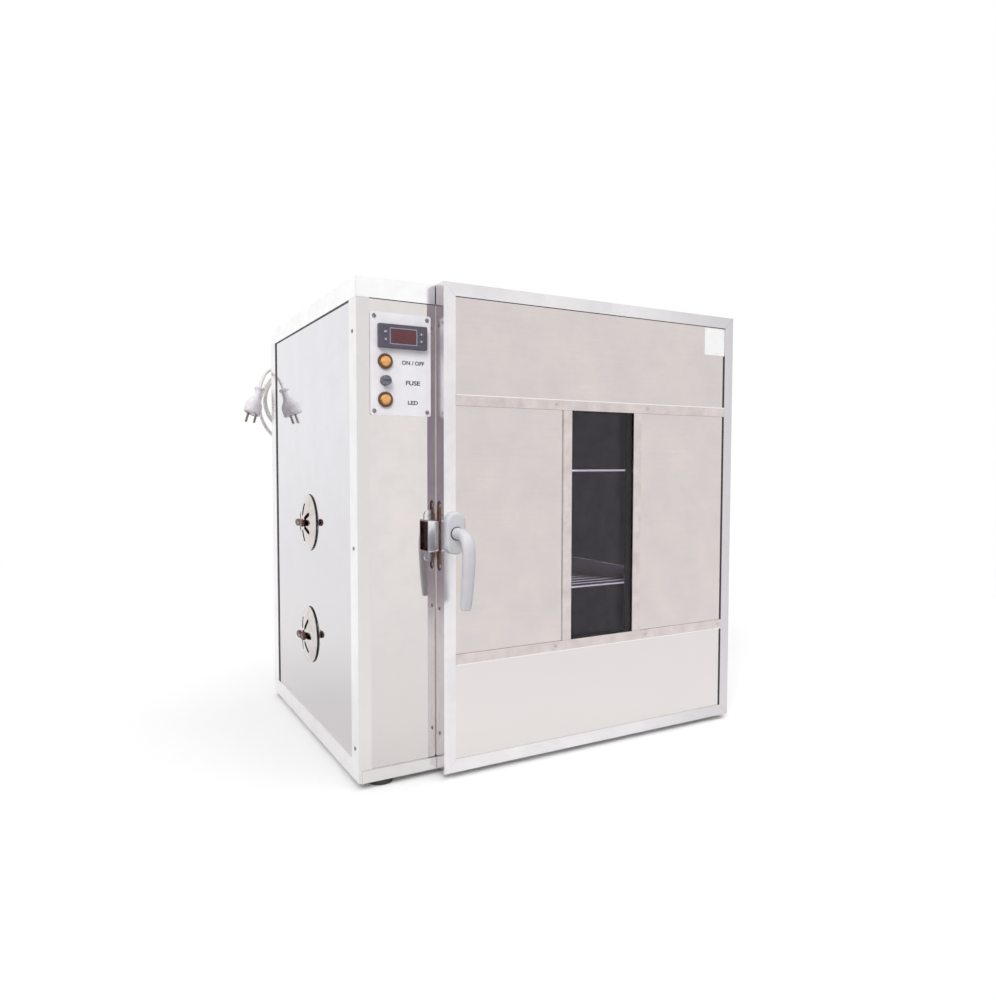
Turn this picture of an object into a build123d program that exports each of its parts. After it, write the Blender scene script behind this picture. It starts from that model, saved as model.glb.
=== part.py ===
"""Honey warming cabinet: an insulated sheet-steel chamber with a glazed door and a control column.

A mains cord hangs in a coil at the rear. Millimetres, +X to the hinge side, +Y to the rear, +Z up.
The origin is on the floor, in the middle of the cabinet's reach (vent studs to hinge barrels, door
handle to cord hook).
"""

import math
import os

from build123d import *

os.makedirs("parts", exist_ok=True)

# Case, measured over the trims
case_width = 724.0
case_depth = 540.0
case_height = 750.0
wall = 30.0
column_width = 150.0
trim_sheet = 1.5
outer_sheet = 1.0
liner_sheet = 1.0
butt_gap = 0.2
top_trim_leg = 30.0
bottom_trim_leg = 30.0
corner_front_leg = 20.0
corner_side_leg = 33.0
corner_rear_side_leg = 35.0
front_strip_height = 18.5
front_strip_inset = 4.8

# Feet
foot_height = 10.0
foot_diameter = 40.0
foot_inset_x = 41.0
foot_inset_y = 22.0
foot_boss_radius = 8.0
foot_edge = 2.0

# Door
column_face_width = 126.0
door_thickness = 27.0
door_gap = 2.2
frame_face = 20.0
frame_sheet = 1.5
door_sheet = 1.0
window_width = 130.0
window_height = 382.0
band_width = 17.0
band_lip = 1.4
band_lip_rise = 0.8
pane_thickness = 4.0
pane_lap = 10.0
gasket_wall = 2.0
seal_width = 8.0
seal_clear = 0.3
seal_edge = 1.0
seal_inset = 0.5

# Hinges
hinge_length = 70.0
hinge_end_distance = 100.0
hinge_leaf = 2.0
hinge_leaf_width = 26.0
hinge_screw_end = 14.0
hinge_screw_offset = 16.12
barrel_radius = 4.0
barrel_offset = 4.3
pin_radius = 2.0
pin_head_radius = 3.2
pin_head_height = 2.0
running_clear = 0.05
knuckle_gap = 0.3
knuckle_relief = 0.5

# Handle and lock
spindle_inset = 17.0
spindle_rise = 5.0
rosette_width = 32.0
rosette_length = 65.0
rosette_height = 10.0
rosette_edge = 4.5
handle_standoff = 58.0
grip_width = 21.0
grip_thickness = 14.0
grip_drop = 112.0
grip_lean = 12.0
grip_edge = 3.0
neck_half = 9.0
lever_clear = 0.4
collar_radius = 8.0
spindle_side = 7.0
spindle_depth = 16.0
spindle_clear = 0.5
lock_slot_length = 107.6
lock_slot_width = 15.0
lock_slot_height = 367.0
lock_slot_depth = 12.4
lock_plate_lap = 4.0
lock_plate = 1.5
lock_body_depth = 42.0
lock_body_thickness = 14.8
lock_body_length = 100.0
bolt_thickness = 5.0
bolt_height = 24.0
bolt_length = 36.0
bolt_recess = 0.2
bolt_behind_gap = 4.4
bolt_clear = 0.08

# Keeper
keeper_width = 17.5
keeper_door_gap = 2.0
keeper_base_length = 80.0
keeper_base = 2.0
keeper_bridge_length = 49.5
keeper_bridge_rise = 16.5
keeper_strip = 2.5
keeper_crown_radius = 3.5
keeper_screw_spread = 31.5

# Control plate, from the case's left face and top, and what it carries
plate_left = 21.0
plate_width = 96.5
plate_top_gap = 49.5
plate_height = 151.0
plate_sheet = 2.0
plate_corner = 3.0
plate_screw_inset = 6.0
thermostat_width = 77.0
thermostat_height = 35.0
thermostat_proud = 7.0
thermostat_body_width = 71.0
thermostat_body_height = 29.0
thermostat_body_depth = 58.0
thermostat_corner = 1.5
thermostat_edge = 0.8
thermostat_drop = 34.7
thermostat_shift = 1.5
display_width = 41.0
display_height = 21.6
display_sheet = 1.5
key_width = 7.0
key_height = 5.0
key_proud = 0.8
key_depth = 2.6
key_travel = 0.6
key_clear = 0.1
key_floor_gap = 0.2
key_spread = 56.6
key_pitch = 11.2
cutout_clear = 0.2
switch_column = 22.8
power_switch_drop = 71.8
fuse_drop = 100.2
lamp_switch_drop = 128.0
switch_ring_radius = 11.5
switch_ring_proud = 2.5
switch_body_radius = 10.4
switch_cavity_radius = 8.5
switch_body_depth = 22.0
rocker_radius = 7.7
rocker_front = 3.4
rocker_back = 3.0
rocker_tilt = 8.0
rocker_pivot_proud = 1.0
rocker_floor_gap = 1.8
trunnion_radius = 1.0
trunnion_reach = 10.0
fuse_flange_radius = 7.8
fuse_flange = 1.5
fuse_body_radius = 6.0
fuse_body_depth = 34.0
fuse_cap_radius = 7.4
fuse_cap_height = 8.0
fuse_cap_edge = 1.0
fuse_cap_gap = 0.3
fuse_stem_radius = 3.5
fuse_stem_length = 14.0
fuse_slot_width = 1.6
fuse_slot_depth = 1.5

# Vents on the left side, from the side's middle
vent_offset = -4.0
upper_vent_offset = -1.5
lower_vent_offset = -201.5
vent_radius = 50.0
vent_rim_gap = 1.2
vent_rise = 10.3
vent_sheet = 1.2
vent_slot_width = 7.5
vent_slot_length = 22.0
vent_slot_circle = 23.0
vent_slots = 6
vent_closed_turn = 30.0
vent_duct_radius = 40.0
stud_radius = 2.5
stud_head_radius = 6.0
stud_head = 3.0
stud_collar_radius = 4.5
stud_length = 20.0
nut_hub_radius = 5.0
nut_hub_height = 6.8
nut_wing_length = 22.0
nut_wing_width = 12.6
nut_wing_spread = 12.8
nut_wing_foot = 0.8
nut_wing_height = 5.6
nut_seat_gap = 0.3

# Chamber fittings
fan_size = 120.0
fan_length = 38.0
fan_bore_radius = 57.0
fan_offset = -15.0
fan_hub_radius = 24.0
fan_plate = 3.0
fan_strut_width = 6.0
rotor_hub_radius = 21.0
rotor_blade_radius = 54.0
rotor_blades = 7
rotor_blade_sheet = 1.8
rotor_blade_chord = 26.0
rotor_blade_pitch = 38.0
rotor_blade_root = 2.0
rotor_inset = 4.0
rotor_length = 28.0
rotor_shaft_radius = 2.0
heater_tube_radius = 4.0
heater_flange_width = 40.0
heater_flange_height = 80.0
heater_flange = 3.0
heater_rear_gap = 110.0
heater_height = 130.0
heater_run = 250.0
heater_leg = 56.0
heater_pitch = 40.0
heater_bend = 14.0
probe_radius = 3.0
probe_length = 45.0
probe_tail = 10.0
probe_collar_radius = 7.0
probe_collar = 3.0
probe_depth = 120.0
probe_top_gap = 150.0
return_slot_width = 8.0
return_slot_length = 60.0
return_slots = 6
return_slot_pitch = 18.0
return_height = 110.0
lamp_end_gap = 70.0
lamp_depth = 36.0
lamp_width = 18.0
lamp_height = 9.0
lamp_edge = 3.6
shelf_offsets = (-121.0, 91.0)
shelf_front = 60.0
shelf_rear_gap = 12.0
shelf_side_gap = 3.0
shelf_frame_radius = 3.0
shelf_wire_radius = 2.0
shelf_wire_pitch = 25.0
shelf_corner = 12.0
rail_leg = 15.0
rail_sheet = 1.5
rail_front_gap = 12.0

# Fasteners
rivet_head_radius = 3.2
rivet_head_height = 1.3
rivet_shank_radius = 1.6
screw_head_radius = 3.2
screw_head_height = 1.8
screw_shank_radius = 1.6
shank_clear = 0.1
side_rivet_inset = 18.0
side_rivet_rises = (48.5, 351.0)
top_rivet_end = 78.0
rear_rivet_inset = 11.0
band_rivet_gap = 30.0
end_rivet_inset = 7.0
edge_rivet_heights = (60.0, 255.0)
edge_rivet_top_gap = 63.0
lock_screw_spread = 46.8
lock_screw_head = 1.2
lock_screw_length = 7.0

# Cord, hook, gland and plug
cord_radius = 3.25
hook_rod_radius = 4.0
hook_reach = 70.0
hook_upturn = 18.0
hook_bend = 9.0
hook_place = 57.0
hook_top_gap = 84.0
hook_base_width = 24.0
hook_base_height = 44.0
hook_base = 3.0
hook_screw_spread = 15.0
gland_place = 123.0
gland_drop = 196.0
gland_flange_radius = 13.0
gland_flange = 5.0
gland_stub_radius = 8.0
gland_axis_rise = 12.0
gland_boot_length = 32.0
gland_tip_radius = 4.6
gland_neck_radius = 7.5
gland_hole_radius = 7.0
gland_tail = 12.0
coil_turns = 3.25
coil_first_rise = 20.0
coil_pitch = 10.0
coil_radii = (66.0, 62.0, 65.0, 79.0)
coil_last_radius = 79.0
coil_last_lift = 6.0
coil_steps_per_turn = 4
coil_samples_per_turn = 72
cord_bend_share = 0.45
cord_hook_clear = 0.4
lead_run = 30.0
tail_run = 22.0
tail_route = [(11.9, 43.4, 11.0), (-5.1, 24.4, 3.0), (-16.5, 7.3, -13.4), (-22.5, 4.7, -32.3)]
plug_collar_length = 6.0
plug_collar_radius = 10.0
plug_waist_radius = 7.0
plug_waist_length = 15.0
plug_body_length = 37.0
plug_face_radius = 18.5
plug_rim = 20.0
plug_edge = 2.0
plug_pin_radius = 2.4
plug_pin_length = 19.0
plug_pin_spread = 9.5

# Reach beyond the case, which sets the origin
vent_reach = stud_length - trim_sheet
hinge_reach = barrel_offset + barrel_radius
door_front_reach = door_gap + door_thickness
handle_reach = door_front_reach + handle_standoff
x_left = (vent_reach - hinge_reach - case_width) / 2
x_right = x_left + case_width
y_front = (handle_reach - hook_reach - case_depth) / 2
y_rear = y_front + case_depth
z_base = foot_height
z_top = z_base + case_height
case_x = (x_left, x_right)
case_y = (y_front, y_rear)
case_z = (z_base, z_top)

# Faces inside the trims and round the chamber
skin = trim_sheet + outer_sheet
panel_face = y_front + trim_sheet
chamber_left = x_left + column_width
chamber_right = x_right - wall
chamber_bottom = z_base + wall
chamber_top = z_top - wall
chamber_rear = y_rear - wall
chamber_front = y_front + skin + butt_gap

# Door planes
door_left = x_left + column_face_width
door_back = y_front - door_gap
door_front = door_back - door_thickness
door_x = (door_left, x_right)
door_y = (door_front, door_back)
door_middle = (door_left + x_right) / 2
door_middle_y = (door_front + door_back) / 2
door_centre = (z_base + z_top) / 2
window_x = (door_middle - window_width / 2, door_middle + window_width / 2)
window_z = (door_centre - window_height / 2, door_centre + window_height / 2)
sheet_front = door_front + frame_sheet
core_front = sheet_front + door_sheet
sheet_back = door_back - frame_sheet
core_back = sheet_back - door_sheet


def inset(span, distance):
    """A range drawn in by a distance at both ends."""
    return (span[0] + distance, span[1] - distance)


def slab(x, y, z, mode=Mode.ADD):
    """Add, or cut, a block that spans three ranges."""
    with Locations(((x[0] + x[1]) / 2, (y[0] + y[1]) / 2, (z[0] + z[1]) / 2)):
        Box(x[1] - x[0], y[1] - y[0], z[1] - z[0], mode=mode)


def rods(spots, direction, radius, length, mode=Mode.ADD):
    """Add, or cut, round rods that start at their spots and run along one direction."""
    with Locations(*[Plane(origin=spot, z_dir=direction) for spot in spots]):
        Cylinder(radius, length, align=(Align.CENTER, Align.CENTER, Align.MIN), mode=mode)


def fasteners(spots, direction, head_radius, head_height, shank_radius, grip):
    """Add fasteners: each head stands out from its spot, its shank runs the other way through the grip."""
    rods(spots, direction, head_radius, head_height)
    inward = tuple(-c for c in direction)
    rods(spots, inward, shank_radius, grip)


def finish(piece, name):
    """Label a finished piece and write it as its own file."""
    piece.part.label = name
    export_step(piece.part, f"parts/{name}.step")


RIGHT, LEFT = (1, 0, 0), (-1, 0, 0)
REAR, FRONT = (0, 1, 0), (0, -1, 0)
UP = (0, 0, 1)

# Places that several pieces share
trim_clear_radius = rivet_shank_radius + shank_clear
screw_clear_radius = screw_shank_radius + shank_clear
rivet_heights = [z_base + rise for rise in side_rivet_rises] + [z_top - top_rivet_end]
side_rivet_spots = [(y_front + side_rivet_inset, z) for z in rivet_heights]
rear_rivet_spots = [(x, z) for x in inset(case_x, rear_rivet_inset) for z in rivet_heights]
hinge_bottoms = (z_base + hinge_end_distance, z_top - hinge_end_distance - hinge_length)
hinge_axis = (x_right + barrel_offset, y_front - door_gap / 2)
hinge_screw_rise = (hinge_screw_end, hinge_length - hinge_screw_end)
hinge_screw_heights = [z + rise for z in hinge_bottoms for rise in hinge_screw_rise]
case_hinge_screws = [(y_front + hinge_screw_offset, z) for z in hinge_screw_heights]
door_hinge_screws = [(door_back - hinge_screw_offset + door_gap, z) for z in hinge_screw_heights]
hinge_screw_face = x_right + hinge_leaf

plate_face = panel_face - plate_sheet
plate_x = (x_left + plate_left, x_left + plate_left + plate_width)
plate_z = (z_top - plate_top_gap - plate_height, z_top - plate_top_gap)
plate_centre = ((plate_x[0] + plate_x[1]) / 2, (plate_z[0] + plate_z[1]) / 2)
plate_screw_x = inset(plate_x, plate_screw_inset)
plate_screw_z = inset(plate_z, plate_screw_inset)
plate_screws = [(x, z) for x in plate_screw_x for z in plate_screw_z]
thermostat_spot = (plate_centre[0] + thermostat_shift, plate_z[1] - thermostat_drop)
power_switch_spot = (plate_x[0] + switch_column, plate_z[1] - power_switch_drop)
lamp_switch_spot = (plate_x[0] + switch_column, plate_z[1] - lamp_switch_drop)
fuse_spot = (plate_x[0] + switch_column, plate_z[1] - fuse_drop)
switch_hole_radius = switch_body_radius + cutout_clear
fuse_hole_radius = fuse_body_radius + cutout_clear
rocker_pivot = plate_face - rocker_pivot_proud

keeper_x = (door_left - keeper_door_gap - keeper_width, door_left - keeper_door_gap)
keeper_centre = ((keeper_x[0] + keeper_x[1]) / 2, z_base + lock_slot_height)
keeper_screws = [(keeper_centre[0], keeper_centre[1] + s * keeper_screw_spread) for s in (-1, 1)]
keeper_face = panel_face - keeper_base

spindle_x = door_left + spindle_inset
spindle_z = z_base + lock_slot_height + spindle_rise
spindle_hole_radius = spindle_side / math.sqrt(2) + spindle_clear
lock_z = z_base + lock_slot_height
lock_slot_y = y_front - lock_slot_depth
lock_plate_face = door_left + frame_sheet
lock_body_x = (lock_plate_face + lock_plate, lock_plate_face + lock_plate + lock_body_depth)
lock_body_y = (core_back - butt_gap - lock_body_thickness, core_back - butt_gap)
lock_body_z = (lock_z - lock_body_length / 2, lock_z + lock_body_length / 2)
lock_plate_half = lock_slot_length / 2 + lock_plate_lap
lock_plate_z = (lock_z - lock_plate_half, lock_z + lock_plate_half)
lock_plate_y = (lock_slot_y - lock_slot_width / 2 - 2 * lock_plate, core_back - butt_gap)
lock_screws = [(lock_slot_y, lock_z + s * lock_screw_spread) for s in (-1, 1)]
bolt_y = (y_front - bolt_behind_gap - door_gap - bolt_thickness, y_front - bolt_behind_gap - door_gap)
bolt_z = (lock_z - bolt_height / 2, lock_z + bolt_height / 2)
bolt_x = (lock_plate_face + bolt_recess, lock_plate_face + bolt_recess + bolt_length)
edge_rivets = [(lock_slot_y, z_base + z) for z in edge_rivet_heights]
edge_rivets.append((lock_slot_y, z_top - edge_rivet_top_gap))
band_rivet_spread = window_width / 2 + band_rivet_gap
band_rivets = [
    (door_middle + side * band_rivet_spread, z)
    for side in (-1, 1)
    for z in (window_z[0] - band_width / 2, window_z[1] + band_width / 2)
] + [(x_right - frame_face - end_rivet_inset, window_z[0] - band_width / 2)]

vent_y = (y_front + y_rear) / 2 + vent_offset
vent_panel_face = x_left + trim_sheet
vent_heights = (door_centre + upper_vent_offset, door_centre + lower_vent_offset)
stud_hole_radius = stud_radius + shank_clear

hook_x = x_left + hook_place
hook_z = z_top - hook_top_gap
rear_panel_face = y_rear - trim_sheet
hook_screws = [(hook_x, hook_z + s * hook_screw_spread) for s in (-1, 1)]
gland_x = x_left + gland_place
gland_z = hook_z - gland_drop
gland_axis_y = y_rear + gland_axis_rise

fan_y = (y_front + y_rear) / 2
fan_z = door_centre + fan_offset
fan_wall_face = chamber_left - liner_sheet
fan_x = (fan_wall_face - fan_length, fan_wall_face)


# Outer sheets
with BuildPart() as base_panel:
    slab(inset(case_x, skin), (panel_face, y_rear - skin), (z_base + trim_sheet, z_base + skin))
finish(base_panel, "base_panel")

with BuildPart() as top_panel:
    slab(inset(case_x, skin), (panel_face, y_rear - skin), (z_top - skin, z_top - trim_sheet))
finish(top_panel, "top_panel")

with BuildPart() as left_side_panel:
    slab((x_left + trim_sheet, x_left + skin), inset(case_y, trim_sheet), inset(case_z, trim_sheet))
    for vent_z in vent_heights:
        vent_plane = Plane(origin=(vent_panel_face, vent_y, vent_z), x_dir=REAR, z_dir=RIGHT)
        with BuildSketch(vent_plane):
            Circle(stud_hole_radius)
            with PolarLocations(vent_slot_circle, vent_slots, start_angle=vent_closed_turn):
                SlotOverall(vent_slot_length, vent_slot_width)
        extrude(amount=outer_sheet, mode=Mode.SUBTRACT)
    rods([(x_left, y, z) for y, z in side_rivet_spots], RIGHT, trim_clear_radius, skin, Mode.SUBTRACT)
finish(left_side_panel, "left_side_panel")

with BuildPart() as right_side_panel:
    slab((x_right - skin, x_right - trim_sheet), inset(case_y, trim_sheet), inset(case_z, trim_sheet))
    rods([(x_right, y, z) for y, z in side_rivet_spots], LEFT, trim_clear_radius, skin, Mode.SUBTRACT)
    rods([(x_right, y, z) for y, z in case_hinge_screws], LEFT, screw_clear_radius, skin, Mode.SUBTRACT)
finish(right_side_panel, "right_side_panel")

with BuildPart() as rear_panel:
    slab(inset(case_x, skin), (y_rear - skin, y_rear - trim_sheet), inset(case_z, trim_sheet))
    rods([(gland_x, y_rear, gland_z)], FRONT, gland_hole_radius, skin, Mode.SUBTRACT)
    rods([(x, y_rear, z) for x, z in hook_screws], FRONT, screw_clear_radius, skin, Mode.SUBTRACT)
    rods([(x, y_rear, z) for x, z in rear_rivet_spots], FRONT, trim_clear_radius, skin, Mode.SUBTRACT)
finish(rear_panel, "rear_panel")

# Fixed front sheet beside the door, and the lands that the door closes on
front_panel_x = (x_left + skin + butt_gap, chamber_left)
front_panel_y = (panel_face, panel_face + outer_sheet)
front_panel_z = inset(case_z, skin + butt_gap)
land_x = (chamber_left + butt_gap, x_right - skin - butt_gap)
with BuildPart() as front_panel:
    slab(front_panel_x, front_panel_y, front_panel_z)
    slab(land_x, front_panel_y, (chamber_top, front_panel_z[1]))
    slab(land_x, front_panel_y, (front_panel_z[0], chamber_bottom))
    slab((chamber_right, land_x[1]), front_panel_y, (chamber_bottom + butt_gap, chamber_top - butt_gap))
    with BuildSketch(Plane(origin=(0, panel_face, 0), x_dir=RIGHT, z_dir=REAR)):
        with Locations((thermostat_spot[0], -thermostat_spot[1])):
            Rectangle(thermostat_body_width + 2 * cutout_clear, thermostat_body_height + 2 * cutout_clear)
        with Locations(*[(x, -z) for x, z in (power_switch_spot, lamp_switch_spot)]):
            Circle(switch_hole_radius)
        with Locations((fuse_spot[0], -fuse_spot[1])):
            Circle(fuse_hole_radius)
        with Locations(*[(x, -z) for x, z in plate_screws + keeper_screws]):
            Circle(screw_clear_radius)
    extrude(amount=outer_sheet, mode=Mode.SUBTRACT)
finish(front_panel, "front_panel")

# Edge angles over the sheets
corner_z = (z_base, z_top - top_trim_leg - butt_gap)
with BuildPart() as corner_trims:
    for x, inward in ((x_left, 1), (x_right, -1)):
        x_leg = sorted((x, x + inward * corner_front_leg))
        x_side = sorted((x, x + inward * trim_sheet))
        slab(x_leg, (y_front, y_front + trim_sheet), corner_z)
        slab(x_side, (y_front, y_front + corner_side_leg), corner_z)
        slab(x_leg, (y_rear - trim_sheet, y_rear), corner_z)
        slab(x_side, (y_rear - corner_rear_side_leg, y_rear), corner_z)
    rods([(x_left, y, z) for y, z in side_rivet_spots], RIGHT, trim_clear_radius, trim_sheet, Mode.SUBTRACT)
    rods([(x_right, y, z) for y, z in side_rivet_spots], LEFT, trim_clear_radius, trim_sheet, Mode.SUBTRACT)
    rods([(x, y_rear, z) for x, z in rear_rivet_spots], FRONT, trim_clear_radius, trim_sheet, Mode.SUBTRACT)
    rods([(x_right, y, z) for y, z in case_hinge_screws], LEFT, screw_clear_radius, trim_sheet, Mode.SUBTRACT)
finish(corner_trims, "corner_trims")

top_trim_z = (z_top - top_trim_leg, z_top)
mitre_length = 4 * top_trim_leg
mitre_corners = [
    Location((x, y, z_top), (0, 0, turn))
    for x, y, turn in (
        (x_left, y_front, 45),
        (x_right, y_front, -45),
        (x_left, y_rear, -45),
        (x_right, y_rear, 45),
    )
]
with BuildPart() as top_trims:
    slab(case_x, case_y, top_trim_z)
    slab(
        inset(case_x, trim_sheet),
        inset(case_y, trim_sheet),
        (top_trim_z[0], z_top - trim_sheet),
        Mode.SUBTRACT,
    )
    slab(inset(case_x, top_trim_leg), inset(case_y, top_trim_leg), top_trim_z, Mode.SUBTRACT)
    with Locations(*mitre_corners):
        Box(mitre_length, butt_gap, 3 * top_trim_leg, mode=Mode.SUBTRACT)
finish(top_trims, "top_trims")

bottom_side_y = (y_front + corner_side_leg + butt_gap, y_rear - corner_rear_side_leg - butt_gap)
bottom_rear_x = inset(case_x, corner_front_leg + butt_gap)
with BuildPart() as bottom_trims:
    for x, inward in ((x_left, 1), (x_right, -1)):
        slab(sorted((x, x + inward * trim_sheet)), bottom_side_y, (z_base, z_base + bottom_trim_leg))
        slab(sorted((x, x + inward * bottom_trim_leg)), bottom_side_y, (z_base, z_base + trim_sheet))
    slab(bottom_rear_x, (y_rear - trim_sheet, y_rear), (z_base, z_base + bottom_trim_leg))
    strip_y = (y_front - trim_sheet, y_front)
    slab(inset(case_x, front_strip_inset), strip_y, (z_base, z_base + front_strip_height))
finish(bottom_trims, "bottom_trims")

# Insulation, liner and the inner wall that carries the fan
wall_board_z = (chamber_bottom - liner_sheet + butt_gap, chamber_top + liner_sheet - butt_gap)
side_board_y = (y_front + skin, chamber_rear + liner_sheet - butt_gap)
with BuildPart() as wall_insulation:
    slab(inset(case_x, skin), inset(case_y, skin), (chamber_top + liner_sheet, z_top - skin))
    slab(inset(case_x, skin), inset(case_y, skin), (z_base + skin, chamber_bottom - liner_sheet))
    slab(inset(case_x, skin), (chamber_rear + liner_sheet, y_rear - skin), wall_board_z)
    slab((chamber_right + liner_sheet, x_right - skin), side_board_y, wall_board_z)
    slab((x_left + skin, x_left + wall), side_board_y, wall_board_z)
    vent_ducts = [(x_left + skin, vent_y, z) for z in vent_heights]
    rods(vent_ducts, RIGHT, vent_duct_radius, wall, Mode.SUBTRACT)
    rods([(gland_x, y_rear, gland_z)], FRONT, gland_hole_radius, skin + gland_tail, Mode.SUBTRACT)
    land_clear = outer_sheet + butt_gap
    slab(case_x, (y_front + skin - land_clear, y_front + skin + butt_gap), case_z, Mode.SUBTRACT)
finish(wall_insulation, "wall_insulation")

liner_y = (chamber_front, chamber_rear)
with BuildPart() as chamber_liner:
    liner_x = (x_left + wall + butt_gap, chamber_right + liner_sheet)
    slab(liner_x, liner_y, (chamber_top, chamber_top + liner_sheet))
    slab(liner_x, liner_y, (chamber_bottom - liner_sheet, chamber_bottom))
    liner_z = (chamber_bottom + butt_gap, chamber_top - butt_gap)
    slab((chamber_right, chamber_right + liner_sheet), liner_y, liner_z)
    slab(
        (x_left + wall + butt_gap, chamber_right - butt_gap),
        (chamber_rear + butt_gap, chamber_rear + liner_sheet),
        liner_z,
    )
finish(chamber_liner, "chamber_liner")

with BuildPart() as fan_wall:
    slab((fan_wall_face, chamber_left), liner_y, (chamber_bottom + butt_gap, chamber_top - butt_gap))
    rods([(fan_wall_face, fan_y, fan_z)], RIGHT, fan_bore_radius, liner_sheet, Mode.SUBTRACT)
    probe_spot = (fan_wall_face, y_front + probe_depth, z_top - probe_top_gap)
    rods([probe_spot], RIGHT, probe_radius + shank_clear, liner_sheet, Mode.SUBTRACT)
    return_spot = (fan_wall_face, fan_y, z_base + return_height)
    with BuildSketch(Plane(origin=return_spot, x_dir=REAR, z_dir=RIGHT)):
        with GridLocations(return_slot_pitch, return_slot_length, return_slots, 1):
            SlotOverall(return_slot_length, return_slot_width, rotation=90)
    extrude(amount=liner_sheet, mode=Mode.SUBTRACT)
finish(fan_wall, "fan_wall")

# Feet under the base corners
foot_spots = [
    (x, y, 0)
    for x in inset(case_x, foot_inset_x)
    for y in inset(case_y, foot_inset_y)
]
with BuildPart() as rubber_feet:
    rods(foot_spots, UP, foot_diameter / 2, foot_height)
    fillet(rubber_feet.edges().filter_by(GeomType.CIRCLE).group_by(Axis.Z)[0], radius=foot_edge)
    rods(foot_spots, UP, foot_boss_radius, foot_height + trim_sheet)
finish(rubber_feet, "rubber_feet")

# Control plate
plate_plane = Plane(origin=(0, panel_face, 0), x_dir=RIGHT, z_dir=FRONT)
with BuildPart() as control_plate:
    with BuildSketch(plate_plane):
        with Locations(plate_centre):
            RectangleRounded(plate_width, plate_height, plate_corner)
        with Locations(thermostat_spot):
            Rectangle(
                thermostat_body_width + 2 * cutout_clear,
                thermostat_body_height + 2 * cutout_clear,
                mode=Mode.SUBTRACT,
            )
        with Locations(power_switch_spot, lamp_switch_spot):
            Circle(switch_hole_radius, mode=Mode.SUBTRACT)
        with Locations(fuse_spot):
            Circle(fuse_hole_radius, mode=Mode.SUBTRACT)
        with Locations(*plate_screws):
            Circle(screw_clear_radius, mode=Mode.SUBTRACT)
    extrude(amount=plate_sheet)
finish(control_plate, "control_plate")

# Thermostat: case with its bezel, display and four keys
bezel_plane = Plane(origin=(0, plate_face, 0), x_dir=RIGHT, z_dir=FRONT)
bezel_face = plate_face - thermostat_proud
key_pocket = key_depth + key_travel + key_floor_gap
key_spots = {
    "set_key": (thermostat_spot[0] - key_spread / 2, thermostat_spot[1] + key_pitch / 2),
    "lamp_key": (thermostat_spot[0] - key_spread / 2, thermostat_spot[1] - key_pitch / 2),
    "up_key": (thermostat_spot[0] + key_spread / 2, thermostat_spot[1] + key_pitch / 2),
    "down_key": (thermostat_spot[0] + key_spread / 2, thermostat_spot[1] - key_pitch / 2),
}
with BuildPart() as thermostat_case:
    with BuildSketch(bezel_plane):
        with Locations(thermostat_spot):
            RectangleRounded(thermostat_width, thermostat_height, thermostat_corner)
    extrude(amount=thermostat_proud)
    fillet(thermostat_case.faces().sort_by(Axis.Y)[0].edges(), radius=thermostat_edge)
    with BuildSketch(bezel_plane):
        with Locations(thermostat_spot):
            Rectangle(thermostat_body_width, thermostat_body_height)
    extrude(amount=-thermostat_body_depth)
    with BuildSketch(Plane(origin=(0, bezel_face, 0), x_dir=RIGHT, z_dir=FRONT)):
        with Locations(thermostat_spot):
            Rectangle(display_width, display_height)
    extrude(amount=-display_sheet, mode=Mode.SUBTRACT)
    with BuildSketch(Plane(origin=(0, bezel_face, 0), x_dir=RIGHT, z_dir=FRONT)):
        with Locations(*key_spots.values()):
            Rectangle(key_width + 2 * key_clear, key_height + 2 * key_clear)
    extrude(amount=-key_pocket, mode=Mode.SUBTRACT)
finish(thermostat_case, "thermostat_case")

with BuildPart() as thermostat_display:
    with BuildSketch(Plane(origin=(0, bezel_face, 0), x_dir=RIGHT, z_dir=FRONT)):
        with Locations(thermostat_spot):
            Rectangle(display_width, display_height)
    extrude(amount=-display_sheet)
finish(thermostat_display, "thermostat_display")

for key_name, key_spot in key_spots.items():
    with BuildPart() as key:
        with BuildSketch(Plane(origin=(0, bezel_face - key_proud, 0), x_dir=RIGHT, z_dir=FRONT)):
            with Locations(key_spot):
                Rectangle(key_width, key_height)
        extrude(amount=-(key_proud + key_depth))
        fillet(key.faces().sort_by(Axis.Y)[0].edges(), radius=key_proud / 2)
    finish(key, key_name)

# Round rocker switches
switch_front = plate_face - switch_ring_proud
cavity_depth = switch_ring_proud - rocker_pivot_proud + rocker_back + rocker_floor_gap
with BuildPart() as switch_bodies:
    for x, z in (power_switch_spot, lamp_switch_spot):
        rods([(x, switch_front, z)], REAR, switch_ring_radius, switch_ring_proud)
        rods([(x, plate_face, z)], REAR, switch_body_radius, switch_body_depth)
        rods([(x, switch_front, z)], REAR, switch_cavity_radius, cavity_depth, Mode.SUBTRACT)
        bore_start = (x - switch_ring_radius, rocker_pivot, z)
        rods([bore_start], RIGHT, trunnion_radius + running_clear, 2 * switch_ring_radius, Mode.SUBTRACT)
finish(switch_bodies, "switch_bodies")

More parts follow.
